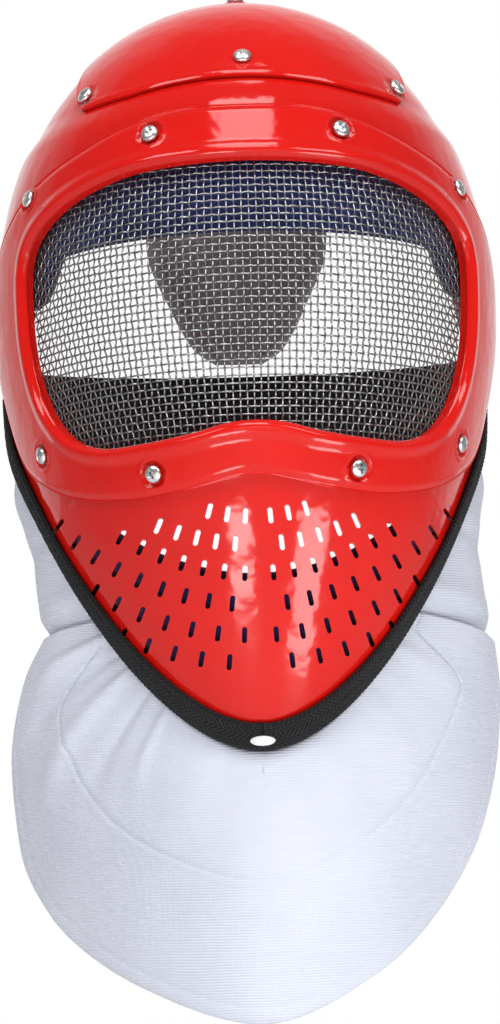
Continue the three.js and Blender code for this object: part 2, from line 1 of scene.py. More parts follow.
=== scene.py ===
"""Looks of the fencing mask: every visible piece is modelled here finely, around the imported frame.

Shapes are worked out in millimetres, in the frame's own axes, and written to meshes in metres.
+Z is up, the mask faces -Y, and the origin is where the top of the head rests in the crown.
"""

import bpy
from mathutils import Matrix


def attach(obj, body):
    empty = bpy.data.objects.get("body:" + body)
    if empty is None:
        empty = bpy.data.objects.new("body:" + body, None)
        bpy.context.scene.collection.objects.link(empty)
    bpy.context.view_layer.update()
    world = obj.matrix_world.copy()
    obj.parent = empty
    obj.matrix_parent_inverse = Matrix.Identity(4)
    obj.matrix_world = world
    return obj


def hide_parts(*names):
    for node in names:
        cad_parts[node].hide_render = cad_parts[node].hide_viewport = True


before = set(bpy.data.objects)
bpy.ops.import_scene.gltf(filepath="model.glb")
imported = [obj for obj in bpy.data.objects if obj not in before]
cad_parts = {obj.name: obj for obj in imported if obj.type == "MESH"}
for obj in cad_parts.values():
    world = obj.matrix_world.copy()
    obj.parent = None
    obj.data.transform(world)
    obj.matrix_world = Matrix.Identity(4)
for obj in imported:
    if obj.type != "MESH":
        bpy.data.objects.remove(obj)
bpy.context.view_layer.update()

import math

import bmesh
import bpy
import numpy as np
from mathutils import Matrix, Vector

MM = 0.001

# ---- the outer form: level sections, half an ellipse to the front and half to the back ----

TOP_Z = 17.0
HALF_WIDTH = 105.2
WIDEST_Z = -113.0
WIDTH_POWER = 2.1
FRONT_REACH = 128.0
FRONT_Z = -130.0
BACK_REACH = 118.0
DEPTH_POWER = 2.2
WALL = 3.0

LOWER = {
    "z": [-340, -303, -270, -241, -210, -170, -130, WIDEST_Z],
    "half_width": [30, 50, 66, 78, 88.5, 98.4, 104.6, HALF_WIDTH],
    "front": [60, 82, 96.5, 107.5, 118, 126, 128, 128],
}
RIM = {
    "z": [-302, -270, -241, -200, -150, -100, -50, -11],
    "y": [-82.6, -66, -52, -28, 22, 45, 62, 80],
}
CHIN_Z, CROWN_EDGE_Z = RIM["z"][0], RIM["z"][-1]
EAR_Z = -150.0

# Visor opening and the frame's outer edge, right half, from the brow's middle to the nose bar's middle.
VISOR = {
    "angle": [0, 16, 28, 40, 49, 55, 57.5, 57.8, 57, 54, 47.5, 38, 26, 15, 7, 0],
    "z": [-75.2, -75.8, -77.5, -82.5, -89, -97, -108, -130, -152, -167, -179, -184.8, -185, -183,
          -180, -179],
    "frame_angle": [0, 14, 27, 41, 54, 65, 75, 79.5, 78, 72.5, 61, 48, 32, 18, 8, 0],
    "frame_z": [-52.2, -52.6, -56, -63.5, -71, -81, -97, -128, -160, -182, -194.5, -202.3, -206,
                -204.5, -201.5, -199.4],
}

# Vent slots: the height of each row at the middle, and how fast it rises to the sides.
SLOT_ROWS = {
    "z": [-215.5, -226, -237, -248.8, -260.5, -271],
    "rise": [0.018, 0.013, 0.0118, 0.0095, 0.0074, 0.006],
    "first_angle": [3.2, 6.2, 4, 8.2, 5.1, 10.8],
    "step": [4.6, 5.1, 5.8, 7, 8.4, 9.6],
    "count": [3, 5, 7, 9, 7, 5],
}
SLOT_WIDTH = 2.0
SLOT_LENGTH = 6.2
SLOT_DEPTH = 24.0

PLATE_THICKNESS = 1.6
STEP_DEPTH = 2.1
STEP_FROM_Z, STEP_TO_Z = -52.0, -38.0
PLATE_EDGE = {
    "y": [-140, -104, -91, -72, -60, -46, -21, 10, 40, 72],
    "z": [-34.5, -36, -40, -41.5, -33, -21, -3, 4, 2, -12],
}
PLATE_BACK_Y = 72.0
BOSS_RADIUS, BOSS_HEIGHT = 5.5, 1.6
TOP_SCREW_ANGLE, TOP_SCREW_Z = 0.0, 15.9

SCREW_RADIUS, SCREW_HEIGHT = 3.6, 2.4
RECESS_RADIUS, RECESS_LIFT = 5.0, 2.0
FRAME_SCREWS = {"angle": [22, 57.3, 59.5, 24.8], "z": [-62.5, -77.2, -181.5, -196.8]}
PLATE_SCREWS = {"angle": [0, -47.3, 47.3], "z": [-28, -35, -35]}

WIRE_PITCH = 3.1
WIRE_RADIUS = 0.37
WIRE_CRIMP = 0.5
WIRE_LIFT = -4.2
SCREEN_MARGIN = 4.0

TRIM_ON_SHELL = 9.0
EAR_FLARE = 2.2
RIVET_HALF_LENGTH, RIVET_HALF_HEIGHT, RIVET_THICKNESS = 5.0, 2.1, 1.2

PAD_LIFT, PAD_THICKNESS = -5.6, 8.6
PAD_BACK_Y = 40.0
PAD_EDGE = {
    "y": [-140, -74, -68, -58, -46, -36, -26, 0, 40],
    "z": [-102, -102, -116, -121, -119, -106, -84, -58, -46],
}
CHIN_PAD_LIFT, CHIN_PAD_THICKNESS = -3.6, 5.4
CHIN_PAD_TOP_Z, CHIN_PAD_RISE, CHIN_PAD_BOTTOM_Z = -238.5, 0.0105, -286.0
TONGUE = {"z": [2, -20, -58, -88, -110, -117], "half_width": [46, 46, 45, 34, 22, 12]}
TONGUE_LIFT, TONGUE_THICKNESS, TONGUE_FRONT_Y = -4.0, 8.0, 44.0
STRAP_LIFT, STRAP_THICKNESS = -3.8, 1.8
STRAP = {"y": [12, 32, 50, 130], "top": [-134, -132, -129.8, -121], "bottom": [-143, -143, -162, -162]}

CLOTH_THICKNESS = 2.4
CLOTH_BULGE = 9.0
NECK_AXIS_Y = 20.0
TRIM_PAST_EDGE = 2.9
BIB_FRONT = {
    "rim_z": [-247, -259, -270, -281, -290, -298, -302, -298, -290, -281, -270, -259, -247],
    "side": [-1, -1, -1, -1, -1, -1, 1, 1, 1, 1, 1, 1, 1],
    "x": [-86, -96, -102, -99, -86, -52, -3, 42, 74, 91, 99, 101, 99],
    "y": [-34, -22, -14, -18, -36, -70, -92, -79, -51, -28, -16, -14, -18],
    "z": [-254, -273, -305, -340, -368, -395, -411, -393, -363, -334, -304, -280, -259],
}
# The side pieces' last stations lie tucked behind the front piece.
BIB_LEFT = {
    "rim_z": [-160, -180, -203, -225, -244, -253],
    "side": [-1] * 6,
    "x": [-99, -96, -92, -89, -86, -88],
    "y": [26, 14, 2, -12, -28, -30],
    "z": [-168, -190, -212, -236, -252, -264],
}
BIB_RIGHT = {
    "rim_z": [-160, -180, -203, -225, -244, -253],
    "side": [1] * 6,
    "x": [99, 96, 95, 96, 97, 97],
    "y": [26, 14, 2, -8, -13, -15],
    "z": [-168, -190, -212, -236, -256, -267],
}
TUCK = 3.4


# ---- curves and the form ----

def along(xs, ys, at):
    """Monotone cubic curve through (xs, ys), with xs rising, read at an array of places."""
    xs, ys, at = np.asarray(xs, float), np.asarray(ys, float), np.asarray(at, float)
    slopes = np.diff(ys) / np.diff(xs)
    before, after = slopes[:-1], slopes[1:]
    total = before + after
    inner = np.where(before * after > 0, 2 * before * after / np.where(total == 0, 1, total), 0)
    tangents = np.concatenate([slopes[:1], inner, slopes[-1:]])
    i = np.clip(np.searchsorted(xs, at) - 1, 0, len(xs) - 2)
    span = xs[i + 1] - xs[i]
    t = np.clip((at - xs[i]) / span, 0, 1)
    t2, t3 = t * t, t * t * t
    return ((2 * t3 - 3 * t2 + 1) * ys[i] + (t3 - 2 * t2 + t) * span * tangents[i]
            + (3 * t2 - 2 * t3) * ys[i + 1] + (t3 - t2) * span * tangents[i + 1])


def smooth(start, end, at):
    t = np.clip((np.asarray(at, float) - start) / (end - start), 0, 1)
    return t * t * (3 - 2 * t)


def dome(z, centre_z, power):
    height = np.clip((z - centre_z) / (TOP_Z - centre_z), 0, 1)
    return np.maximum(0, 1 - height ** power) ** (1 / power)


def half_width(z):
    low = along(LOWER["z"], LOWER["half_width"], z)
    return np.where(z > WIDEST_Z, HALF_WIDTH * dome(z, WIDEST_Z, WIDTH_POWER), low)


def front_reach(z):
    low = along(LOWER["z"], LOWER["front"], z)
    return np.where(z > FRONT_Z, FRONT_REACH * dome(z, FRONT_Z, DEPTH_POWER), low)


def back_reach(z):
    return BACK_REACH * dome(z, WIDEST_Z, DEPTH_POWER)


def on_form(angle, z):
    """Points of the outer form at angles in degrees from the middle of the face, towards +X."""
    angle, z = np.broadcast_arrays(np.asarray(angle, float), np.asarray(z, float))
    turn = np.radians(angle)
    reach = np.where(np.cos(turn) > 0, front_reach(z), back_reach(z))
    return np.stack([half_width(z) * np.sin(turn), -reach * np.cos(turn), z], -1)


def unit(vectors):
    length = np.linalg.norm(vectors, axis=-1, keepdims=True)
    return vectors / np.where(length == 0, 1, length)


def normal_at(angle, z):
    small = 0.05
    angle, z = np.broadcast_arrays(np.asarray(angle, float), np.asarray(z, float))
    round_ = on_form(angle + small, z) - on_form(angle - small, z)
    up = on_form(angle, np.minimum(z + small, TOP_Z)) - on_form(angle, z - small)
    return unit(np.cross(round_, up))


def place(angle, z, lift):
    lift = np.asarray(lift, float)
    return on_form(angle, z) + normal_at(angle, z) * lift[..., None]


def step_at(z):
    return STEP_DEPTH * smooth(STEP_FROM_Z, STEP_TO_Z, z)


def rim_y(z):
    return along(RIM["z"], RIM["y"], z)


def rim_angle(z):
    y = rim_y(z)
    reach = np.where(y < 0, front_reach(z), back_reach(z))
    return np.degrees(np.arccos(np.clip(-y / reach, -1, 1)))


def beside_rim(side, z, past, lift):
    """Points beside the shell's edge: past it along the shell, and out from the face."""
    side, z = np.asarray(side, float), np.asarray(z, float)
    small = 0.5
    low = np.maximum(z - small, CHIN_Z)
    ahead = on_form(side * rim_angle(z + small), z + small)
    tangent = ahead - on_form(side * rim_angle(low), low)
    level = np.stack([side, side * 0, side * 0 + 0.01], -1)
    tangent = np.where((z - small < CHIN_Z)[..., None], level, tangent)
    normal = normal_at(side * rim_angle(z), z)
    outward = unit(np.cross(unit(tangent), normal) * side[..., None])
    base = on_form(side * rim_angle(z), z)
    past, lift = np.asarray(past, float), np.asarray(lift, float)
    return base + normal * lift[..., None] + outward * past[..., None]


# ---- meshes ----

def grid_faces(rows, columns, close_rows=False, close_columns=False):
    """Quads of a grid of points; a closed direction joins its end to its start."""
    i, j = np.meshgrid(np.arange(rows - (not close_rows)), np.arange(columns - (not close_columns)),
                       indexing="ij")
    i2, j2 = (i + 1) % rows, (j + 1) % columns
    quads = np.stack([i * columns + j, i2 * columns + j, i2 * columns + j2, i * columns + j2], -1)
    return quads.reshape(-1, 4)


def make_mesh(name, points, faces, uv=None):
    """A mesh from points in millimetres, an array of quads, and optionally a uv pair for each point."""
    mesh = bpy.data.meshes.new(name)
    points = np.asarray(points, float).reshape(-1, 3) * MM
    mesh.from_pydata(points.tolist(), [], [list(face) for face in faces])
    if uv is not None:
        layer = mesh.uv_layers.new(name="UVMap")
        corners = np.empty(len(mesh.loops), int)
        mesh.loops.foreach_get("vertex_index", corners)
        layer.data.foreach_set("uv", np.asarray(uv, np.float32).reshape(-1, 2)[corners].ravel())
    mesh.shade_smooth()
    mesh.update()
    obj = bpy.data.objects.new(name, mesh)
    bpy.context.scene.collection.objects.link(obj)
    return obj


def turn_out(obj):
    """Makes a closed mesh's faces point outwards."""
    work = bmesh.new()
    work.from_mesh(obj.data)
    if work.calc_volume(signed=True) < 0:
        bmesh.ops.reverse_faces(work, faces=work.faces)
    work.to_mesh(obj.data)
    work.free()
    return obj


def closed_tube(name, rings, uv=None, close_rows=False):
    """A solid from a stack of closed rings, with its two ends filled unless the stack closes too."""
    rows, columns = rings.shape[:2]
    faces = [list(quad) for quad in grid_faces(rows, columns, close_rows, True)]
    if not close_rows:
        last = (rows - 1) * columns
        faces += [list(range(columns)), list(range(last, last + columns))[::-1]]
    return turn_out(make_mesh(name, rings, faces, uv))


def cut(obj, cutter, operation="DIFFERENCE"):
    """Cuts or joins with another mesh, which is used up."""
    modifier = obj.modifiers.new("cut", "BOOLEAN")
    modifier.object, modifier.operation, modifier.solver = cutter, operation, "MANIFOLD"
    bpy.context.view_layer.update()
    result = bpy.data.meshes.new_from_object(obj.evaluated_get(bpy.context.evaluated_depsgraph_get()))
    obj.modifiers.clear()
    obj.data = result
    bpy.data.objects.remove(cutter)
    return obj


def join(objects):
    """One mesh from several, keeping the first one's name."""
    work = bmesh.new()
    for obj in objects:
        work.from_mesh(obj.data)
    work.to_mesh(objects[0].data)
    work.free()
    for obj in objects[1:]:
        bpy.data.objects.remove(obj)
    return objects[0]


def form_normals(obj, smooth_angle=35):
    """Gives every corner that lies on the form the form's own normal, so that cuts leave no dents."""
    mesh = obj.data
    count = len(mesh.loops)
    corners = np.empty(count, int)
    mesh.loops.foreach_get("vertex_index", corners)
    co = np.empty(len(mesh.vertices) * 3)
    mesh.vertices.foreach_get("co", co)
    co = co.reshape(-1, 3) / MM
    x, y, z = co[corners].T
    def level(height):
        height = np.clip(height, LOWER["z"][0], TOP_Z - 0.5)
        reach = np.where(y < 0, front_reach(height), back_reach(height)) - step_at(height)
        wide = half_width(height) - step_at(height)
        return (x / wide) ** 2 + (y / reach) ** 2
    small = 0.2
    wide = half_width(np.clip(z, LOWER["z"][0], TOP_Z - 0.5)) - step_at(z)
    reach = np.where(y < 0, front_reach(np.clip(z, -340, TOP_Z - 0.5)),
                     back_reach(np.clip(z, -340, TOP_Z - 0.5))) - step_at(z)
    gradient = unit(np.stack([2 * x / wide ** 2, 2 * y / reach ** 2,
                              (level(z + small) - level(z - small)) / (2 * small)], -1))
    face_normal = np.empty(len(mesh.polygons) * 3)
    mesh.polygons.foreach_get("normal", face_normal)
    totals = np.empty(len(mesh.polygons), int)
    mesh.polygons.foreach_get("loop_total", totals)
    flat = np.repeat(face_normal.reshape(-1, 3), totals, axis=0)
    agree = np.sum(flat * gradient, -1)
    limit = math.cos(math.radians(smooth_angle))
    normals = np.where((agree > limit)[:, None], gradient,
                       np.where((agree < -limit)[:, None], -gradient, flat))
    mesh.normals_split_custom_set(normals.tolist())
    return obj


def finish_piece(obj, material, slot, *nodes):
    obj.data.materials.clear()
    obj.data.materials.append(material)
    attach(obj, "root")
    if nodes:
        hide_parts(*nodes)
    return obj


# ---- materials ----

class Nodes:
    """A short way to write one material's node tree."""

    def __init__(self, name):
        self.material = bpy.data.materials.new(name)
        self.material.use_nodes = True
        self.tree = self.material.node_tree
        self.shader = self.tree.nodes["Principled BSDF"]

    def set(self, **values):
        for key, value in values.items():
            self.shader.inputs[key.replace("_", " ").title().replace("Ior", "IOR")].default_value = value
        return self

    def add(self, kind, **settings):
        node = self.tree.nodes.new("ShaderNode" + kind)
        for key, value in settings.items():
            if key in node.bl_rna.properties:
                setattr(node, key, value)
            else:
                node.inputs[key].default_value = value
        return node

    def link(self, source, target):
        self.tree.links.new(source, target)

    def coordinates(self, kind="Object", scale=(1, 1, 1)):
        source = self.add("TexCoord")
        mapping = self.add("Mapping")
        mapping.inputs["Scale"].default_value = scale
        self.link(source.outputs[kind], mapping.inputs["Vector"])
        return mapping.outputs["Vector"]

    def noise(self, vector, scale, detail=3.0, roughness=0.5):
        node = self.add("TexNoise")
        node.inputs["Scale"].default_value = scale
        node.inputs["Detail"].default_value = detail
        node.inputs["Roughness"].default_value = roughness
        self.link(vector, node.inputs["Vector"])
        return node.outputs["Fac"]

    def math(self, operation, first, second=0.0, third=0.0):
        node = self.add("Math", operation=operation)
        for socket, value in zip(node.inputs, (first, second, third)):
            if isinstance(value, (int, float)):
                socket.default_value = value
            else:
                self.link(value, socket)
        return node.outputs[0]

    def split(self, vector):
        node = self.add("SeparateXYZ")
        self.link(vector, node.inputs[0])
        return node.outputs

    def ramp(self, factor, dark, light, low=0.3, high=0.7):
        node = self.add("ValToRGB")
        node.color_ramp.elements[0].position, node.color_ramp.elements[1].position = low, high
        node.color_ramp.elements[0].color = (*dark, 1)
        node.color_ramp.elements[1].color = (*light, 1)
        self.link(factor, node.inputs["Fac"])
        return node.outputs["Color"]

    def colour(self, socket):
        self.link(socket, self.shader.inputs["Base Color"])

    def roughness(self, factor, low, high):
        node = self.add("MapRange")
        node.inputs["To Min"].default_value = low
        node.inputs["To Max"].default_value = high
        self.link(factor, node.inputs["Value"])
        self.link(node.outputs["Result"], self.shader.inputs["Roughness"])

    def bump(self, height, distance, strength=1.0):
        """Adds a bump under those already there."""
        node = self.add("Bump")
        node.inputs["Distance"].default_value = distance
        node.inputs["Strength"].default_value = strength
        self.link(height, node.inputs["Height"])
        socket = self.shader.inputs["Normal"]
        if socket.is_linked:
            self.link(socket.links[0].from_socket, node.inputs["Normal"])
        self.link(node.outputs["Normal"], socket)


def red_plastic():
    m = Nodes("red_plastic").set(specular_ior_level=0.32)
    where = m.coordinates()
    m.colour(m.ramp(m.noise(where, 9, 2), (0.53, 0.006, 0.004), (0.62, 0.008, 0.004)))
    m.roughness(m.noise(where, 60, 4), 0.06, 0.15)
    m.bump(m.noise(where, 26, 1.5, 0.4), 0.004, 0.12)
    m.bump(m.noise(where, 75, 2, 0.5), 0.0016, 0.3)
    m.bump(m.noise(where, 900, 2), 0.0002, 0.06)
    return m.material


def steel_wire():
    m = Nodes("steel_wire").set(metallic=1.0)
    where = m.coordinates()
    m.colour(m.ramp(m.noise(where, 300, 3), (0.22, 0.215, 0.21), (0.42, 0.42, 0.42)))
    m.roughness(m.noise(where, 700, 3), 0.2, 0.38)
    m.bump(m.noise(where, 2500, 2), 0.0001, 0.2)
    return m.material


def zinc():
    m = Nodes("zinc").set(metallic=1.0)
    where = m.coordinates()
    m.colour(m.ramp(m.noise(where, 260, 3), (0.5, 0.53, 0.56), (0.86, 0.85, 0.8)))
    m.roughness(m.noise(where, 500, 4), 0.2, 0.4)
    m.bump(m.noise(where, 1500, 3), 0.0001, 0.3)
    return m.material


def webbing():
    """Herringbone: ribs that change their slant from one band to the next, from the trim's own uv in mm, with
    painted shade in the grooves between the ribs.
    """
    m = Nodes("black_webbing").set(specular_ior_level=0.25, sheen_weight=0.05, sheen_roughness=0.5)
    run, over, _ = m.split(m.coordinates("UV"))
    band = m.math("PINGPONG", over, 3.0)
    slant = m.math("ADD", run, band)
    rib = m.math("SINE", m.math("MULTIPLY", slant, 2 * math.pi / 2.1))
    thread = m.math("SINE", m.math("MULTIPLY", over, 2 * math.pi / 0.8))
    height = m.math("ADD", rib, m.math("MULTIPLY", thread, 0.35))
    fuzz = m.noise(m.coordinates(), 1200, 3)
    # Painted shade: the colour follows the rib height, so the grooves are painted darker and the ridges lighter;
    # the fuzz adds random tone.
    m.colour(m.ramp(m.math("MULTIPLY_ADD", height, 0.3, fuzz), (0.003, 0.003, 0.004),
                    (0.014, 0.014, 0.016), 0.2, 0.95))
    m.roughness(fuzz, 0.75, 0.95)
    m.bump(height, 0.0006, 0.9)
    m.bump(fuzz, 0.0002, 0.4)
    return m.material


def bib_cloth():
    """Close horizontal ribs over a fine twill, with faint shade changes where the cloth was handled."""
    m = Nodes("bib_cloth").set(specular_ior_level=0.2, sheen_weight=0.25, sheen_roughness=0.4)
    where = m.coordinates()
    x, y, z = m.split(where)
    wander = m.math("MULTIPLY", m.noise(where, 40, 2), 0.0012)
    rib = m.math("SINE", m.math("MULTIPLY", m.math("ADD", z, wander), 2 * math.pi / 0.0011))
    thread = m.math("SINE", m.math("MULTIPLY", m.math("ADD", x, y), 2 * math.pi / 0.0009))
    height = m.math("ADD", rib, m.math("MULTIPLY", thread, 0.4))
    m.colour(m.ramp(m.noise(where, 14, 3), (0.50, 0.52, 0.60), (0.57, 0.59, 0.67)))
    m.roughness(m.noise(where, 700, 2), 0.75, 0.95)
    m.bump(height, 0.00016, 0.5)
    m.bump(m.noise(where, 55, 4), 0.0012, 0.25)
    m.bump(m.noise(where, 1600, 3), 0.0001, 0.4)
    return m.material


def brushed_knit(name, dark, light):
    m = Nodes(name).set(specular_ior_level=0.15, sheen_weight=0.4, sheen_roughness=0.5)
    where = m.coordinates()
    fuzz = m.noise(where, 1500, 4, 0.7)
    m.colour(m.ramp(m.math("MULTIPLY_ADD", fuzz, 0.5, m.noise(where, 22, 3)), dark, light, 0.4, 1.0))
    m.roughness(fuzz, 0.85, 1.0)
    m.bump(m.noise(where, 120, 3), 0.0012, 0.35)
    m.bump(fuzz, 0.0004, 0.6)
    return m.material


def elastic():
    m = Nodes("black_elastic").set(specular_ior_level=0.25, sheen_weight=0.1, sheen_roughness=0.5)
    run, over, _ = m.split(m.coordinates("UV"))
    cord = m.math("SINE", m.math("MULTIPLY", over, 2 * math.pi / 2.2))
    pick = m.math("SINE", m.math("MULTIPLY", run, 2 * math.pi / 1.1))
    height = m.math("MULTIPLY_ADD", pick, 0.5, cord)
    fuzz = m.noise(m.coordinates(), 1500, 3)
    m.colour(m.ramp(fuzz, (0.005, 0.005, 0.006), (0.03, 0.03, 0.034)))
    m.roughness(fuzz, 0.75, 0.95)
    m.bump(height, 0.0004, 0.8)
    return m.material


def white_plastic():
    m = Nodes("white_plastic").set(specular_ior_level=0.5)
    where = m.coordinates()
    m.colour(m.ramp(m.noise(where, 400, 3), (0.6, 0.6, 0.6), (0.74, 0.74, 0.74)))
    m.roughness(m.noise(where, 900, 3), 0.3, 0.5)
    m.bump(m.noise(where, 900, 3), 0.0002, 0.3)
    return m.material


# ---- the shell ----

def form_block(name, lift, columns, crown_levels, lower_levels, inside_out=False, stepped=True):
    """The whole form as a closed surface: a pole, level rings and a flat bottom."""
    crown = WIDEST_Z + (TOP_Z - WIDEST_Z) * np.cos(np.arange(1, crown_levels + 1) / crown_levels * math.pi / 2)
    low = WIDEST_Z + (LOWER["z"][0] - WIDEST_Z) * np.arange(1, lower_levels + 1) / lower_levels
    levels = np.concatenate([crown, low])
    angles = np.arange(columns) * 360 / columns
    z, angle = np.meshgrid(levels, angles, indexing="ij")
    raised = lift - (step_at(z) if stepped else 0)
    points = place(angle, z, raised + 0 * z).reshape(-1, 3)
    rows = len(levels)
    pole = [0, 0, TOP_Z + lift - (STEP_DEPTH if stepped else 0)]
    faces = [list(quad) for quad in grid_faces(rows, columns, False, True)]
    top, bottom = rows * columns, rows * columns + 1
    for j in range(columns):
        k = (j + 1) % columns
        faces.append([top, j, k])
        faces.append([bottom, (rows - 1) * columns + k, (rows - 1) * columns + j])
    obj = turn_out(make_mesh(name, np.vstack([points, [pole], [[0, 0, LOWER["z"][0]]]]), faces))
    if inside_out:
        obj.data.flip_normals()
    return obj


def across_block(name, outline):
    """A block right across the mask with its outline in the side view, as rows of (y, z)."""
    outline = np.asarray(outline, float)
    rings = np.stack([np.column_stack([np.full(len(outline), x), outline]) for x in (-200, 200)])
    return closed_tube(name, rings)


def visor_loop(angle_key, z_key, count):
    """Closed smooth curve through the right half's points and their mirror, with count points."""
    right = np.column_stack([VISOR[angle_key], VISOR[z_key]]).astype(float)
    points = np.vstack([right, right[-2:0:-1] * [-1, 1]])
    at = np.arange(count) / count * len(points)
    i = at.astype(int)
    t = (at - i)[:, None]
    a, b, c, d = (points[(i + k) % len(points)] for k in (-1, 0, 1, 2))
    return 0.5 * (2 * b + (c - a) * t + (2 * a - 5 * b + 4 * c - d) * t ** 2
                  + (3 * b - a - 3 * c + d) * t ** 3)


def grown(loop, margin):
    return loop + unit(loop - [0, -130]) * margin


def visor_plug(margin):
    """A solid that fills the visor opening, grown by a margin, with a point in front and one behind."""
    loop = grown(visor_loop("angle", "z", 240), margin)
    rings = np.stack([place(loop[:, 0], loop[:, 1], np.full(len(loop), lift)) for lift in (8.0, -12.0)])
    count = len(loop)
    faces = [list(quad) for quad in grid_faces(2, count, False, True)]
    for j in range(count):
        k = (j + 1) % count
        faces += [[2 * count, j, k], [2 * count + 1, count + k, count + j]]
    points = np.vstack([rings.reshape(-1, 3), [[0, -400, WIDEST_Z], [0, -20, WIDEST_Z]]])
    return turn_out(make_mesh("plug", points, faces))


def slot_places():
    """Angle and height of each slot, and how much its row climbs for each degree."""
    for row in zip(*(SLOT_ROWS[key] for key in ("z", "rise", "first_angle", "step", "count"))):
        z, rise, first, step, count = row
        for i in range(count):
            angle = first + step * i
            for side in (-1, 1):
                yield side * angle, z + rise * angle * angle, side * 2 * rise * angle


def slot_cutters():
    """All vent slots as one mesh of upright pills that pass through the wall."""
    ends = np.radians(np.linspace(0, 180, 9))
    straight = SLOT_LENGTH / 2 - SLOT_WIDTH / 2
    half = np.column_stack([np.cos(ends), np.sin(ends)]) * SLOT_WIDTH / 2 + [0, straight]
    pill = np.vstack([half, -half])
    made = []
    for angle, z, slope in slot_places():
        row = on_form(angle + 1, z + slope) - on_form(angle - 1, z - slope)
        side = unit(row * [1, 0, 1])
        up = np.array([-side[2], 0, side[0]])
        flat = on_form(angle, z) + pill[:, :1] * side + pill[:, 1:] * up
        made.append(closed_tube("slot", np.stack([flat - [0, SLOT_DEPTH / 2, 0], flat + [0, SLOT_DEPTH / 2, 0]])))
    return join(made)


def face_shell(material):
    outer = form_block("shell", 0.0, 300, 90, 120)
    inner = form_block("inner", -WALL, 150, 50, 60, inside_out=True)
    obj = join([outer, inner])
    z = np.linspace(CHIN_Z, CROWN_EDGE_Z, 160)
    edge = np.column_stack([rim_y(z), z])
    front = [[RIM["y"][-1], 60], [-200, 60], [-200, CHIN_Z]]
    cut(obj, across_block("front", np.vstack([edge, front])), "INTERSECT")
    cut(obj, visor_plug(1.0))
    cut(obj, slot_cutters())
    form_normals(obj)
    return finish_piece(obj, material, "red_plastic", "face_shell")


# ---- the crown plate ----

def edge_height(angles, inside, low):
    """The lowest height on each angle's meridian down to which the form stays inside a region."""
    heights = np.linspace(TOP_Z - 0.2, low, 1400)
    z, angle = np.meshgrid(heights, angles, indexing="ij")
    points = on_form(angle, z)
    out = ~inside(points[..., 1], points[..., 2])
    first = np.where(out.any(0), out.argmax(0), len(heights) - 1)
    return heights[np.maximum(first - 1, 0)]


def soften(values, width):
    """Rounds the corners of a closed run of values."""
    kernel = np.hanning(width * 2 + 1)
    padded = np.concatenate([values[-width:], values, values[:width]])
    return np.convolve(padded, kernel / kernel.sum(), "valid")


def crown_plate(material):
    columns, rows = 300, 90
    angles = np.arange(columns) * 360 / columns
    low = edge_height(angles, lambda y, z: (z > np.interp(y, PLATE_EDGE["y"], PLATE_EDGE["z"]))
                      & (y < PLATE_BACK_Y), -60)
    low = soften(low, 3)
    reach = np.arccos(np.clip((low - WIDEST_Z) / (TOP_Z - WIDEST_Z), -1, 1))
    share = np.linspace(0.004, 1, rows)[:, None] ** 0.9
    z = WIDEST_Z + (TOP_Z - WIDEST_Z) * np.cos(reach[None] * share)
    angle = np.broadcast_to(angles, z.shape)
    base = on_form(angle, z)
    edge = base[-1]
    to_edge = np.linalg.norm(base - edge[None], axis=-1)
    lip = 0.25 * smooth(4.0, 2.0, to_edge) * smooth(-30, -60, base[..., 1])
    rounding = 0.6
    inset = np.clip(rounding - to_edge, 0, rounding)
    top = lip - (rounding - np.sqrt(rounding ** 2 - inset ** 2))
    from_top_screw = np.linalg.norm(base - on_form(TOP_SCREW_ANGLE, TOP_SCREW_Z), axis=-1)
    boss = BOSS_HEIGHT * smooth(BOSS_RADIUS + 0.9, BOSS_RADIUS - 0.4, from_top_screw)
    dent = np.zeros_like(top)
    for a, h in list(zip(*PLATE_SCREWS.values()))[1:]:
        away = np.linalg.norm(base - on_form(a, h), axis=-1)
        dent = np.maximum(dent, 0.9 * smooth(5.6, 4.4, away))
    upper = place(angle, z, top + boss - dent)
    under = place(angle, z, np.full(z.shape, -PLATE_THICKNESS))
    points = np.vstack([upper.reshape(-1, 3), under[::-1].reshape(-1, 3),
                        [[0, 0, TOP_Z], [0, 0, TOP_Z - PLATE_THICKNESS]]])
    faces = [list(quad) for quad in grid_faces(2 * rows, columns, False, True)]
    last = 2 * rows * columns
    for j in range(columns):
        k = (j + 1) % columns
        faces += [[last, j, k], [last + 1, (2 * rows - 1) * columns + k, (2 * rows - 1) * columns + j]]
    obj = turn_out(make_mesh("crown_plate_moulding", points, faces))
    obj.data.set_sharp_from_angle(angle=math.radians(50))
    return finish_piece(obj, material, "red_plastic", "crown_plate")


# ---- the visor frame ----

def frame_section():
    """Across the frame's top face, 0 at the opening to 1 outside, closer together at both edges."""
    t = np.linspace(0, 1, 46)
    return t - 0.12 * np.sin(2 * math.pi * t)


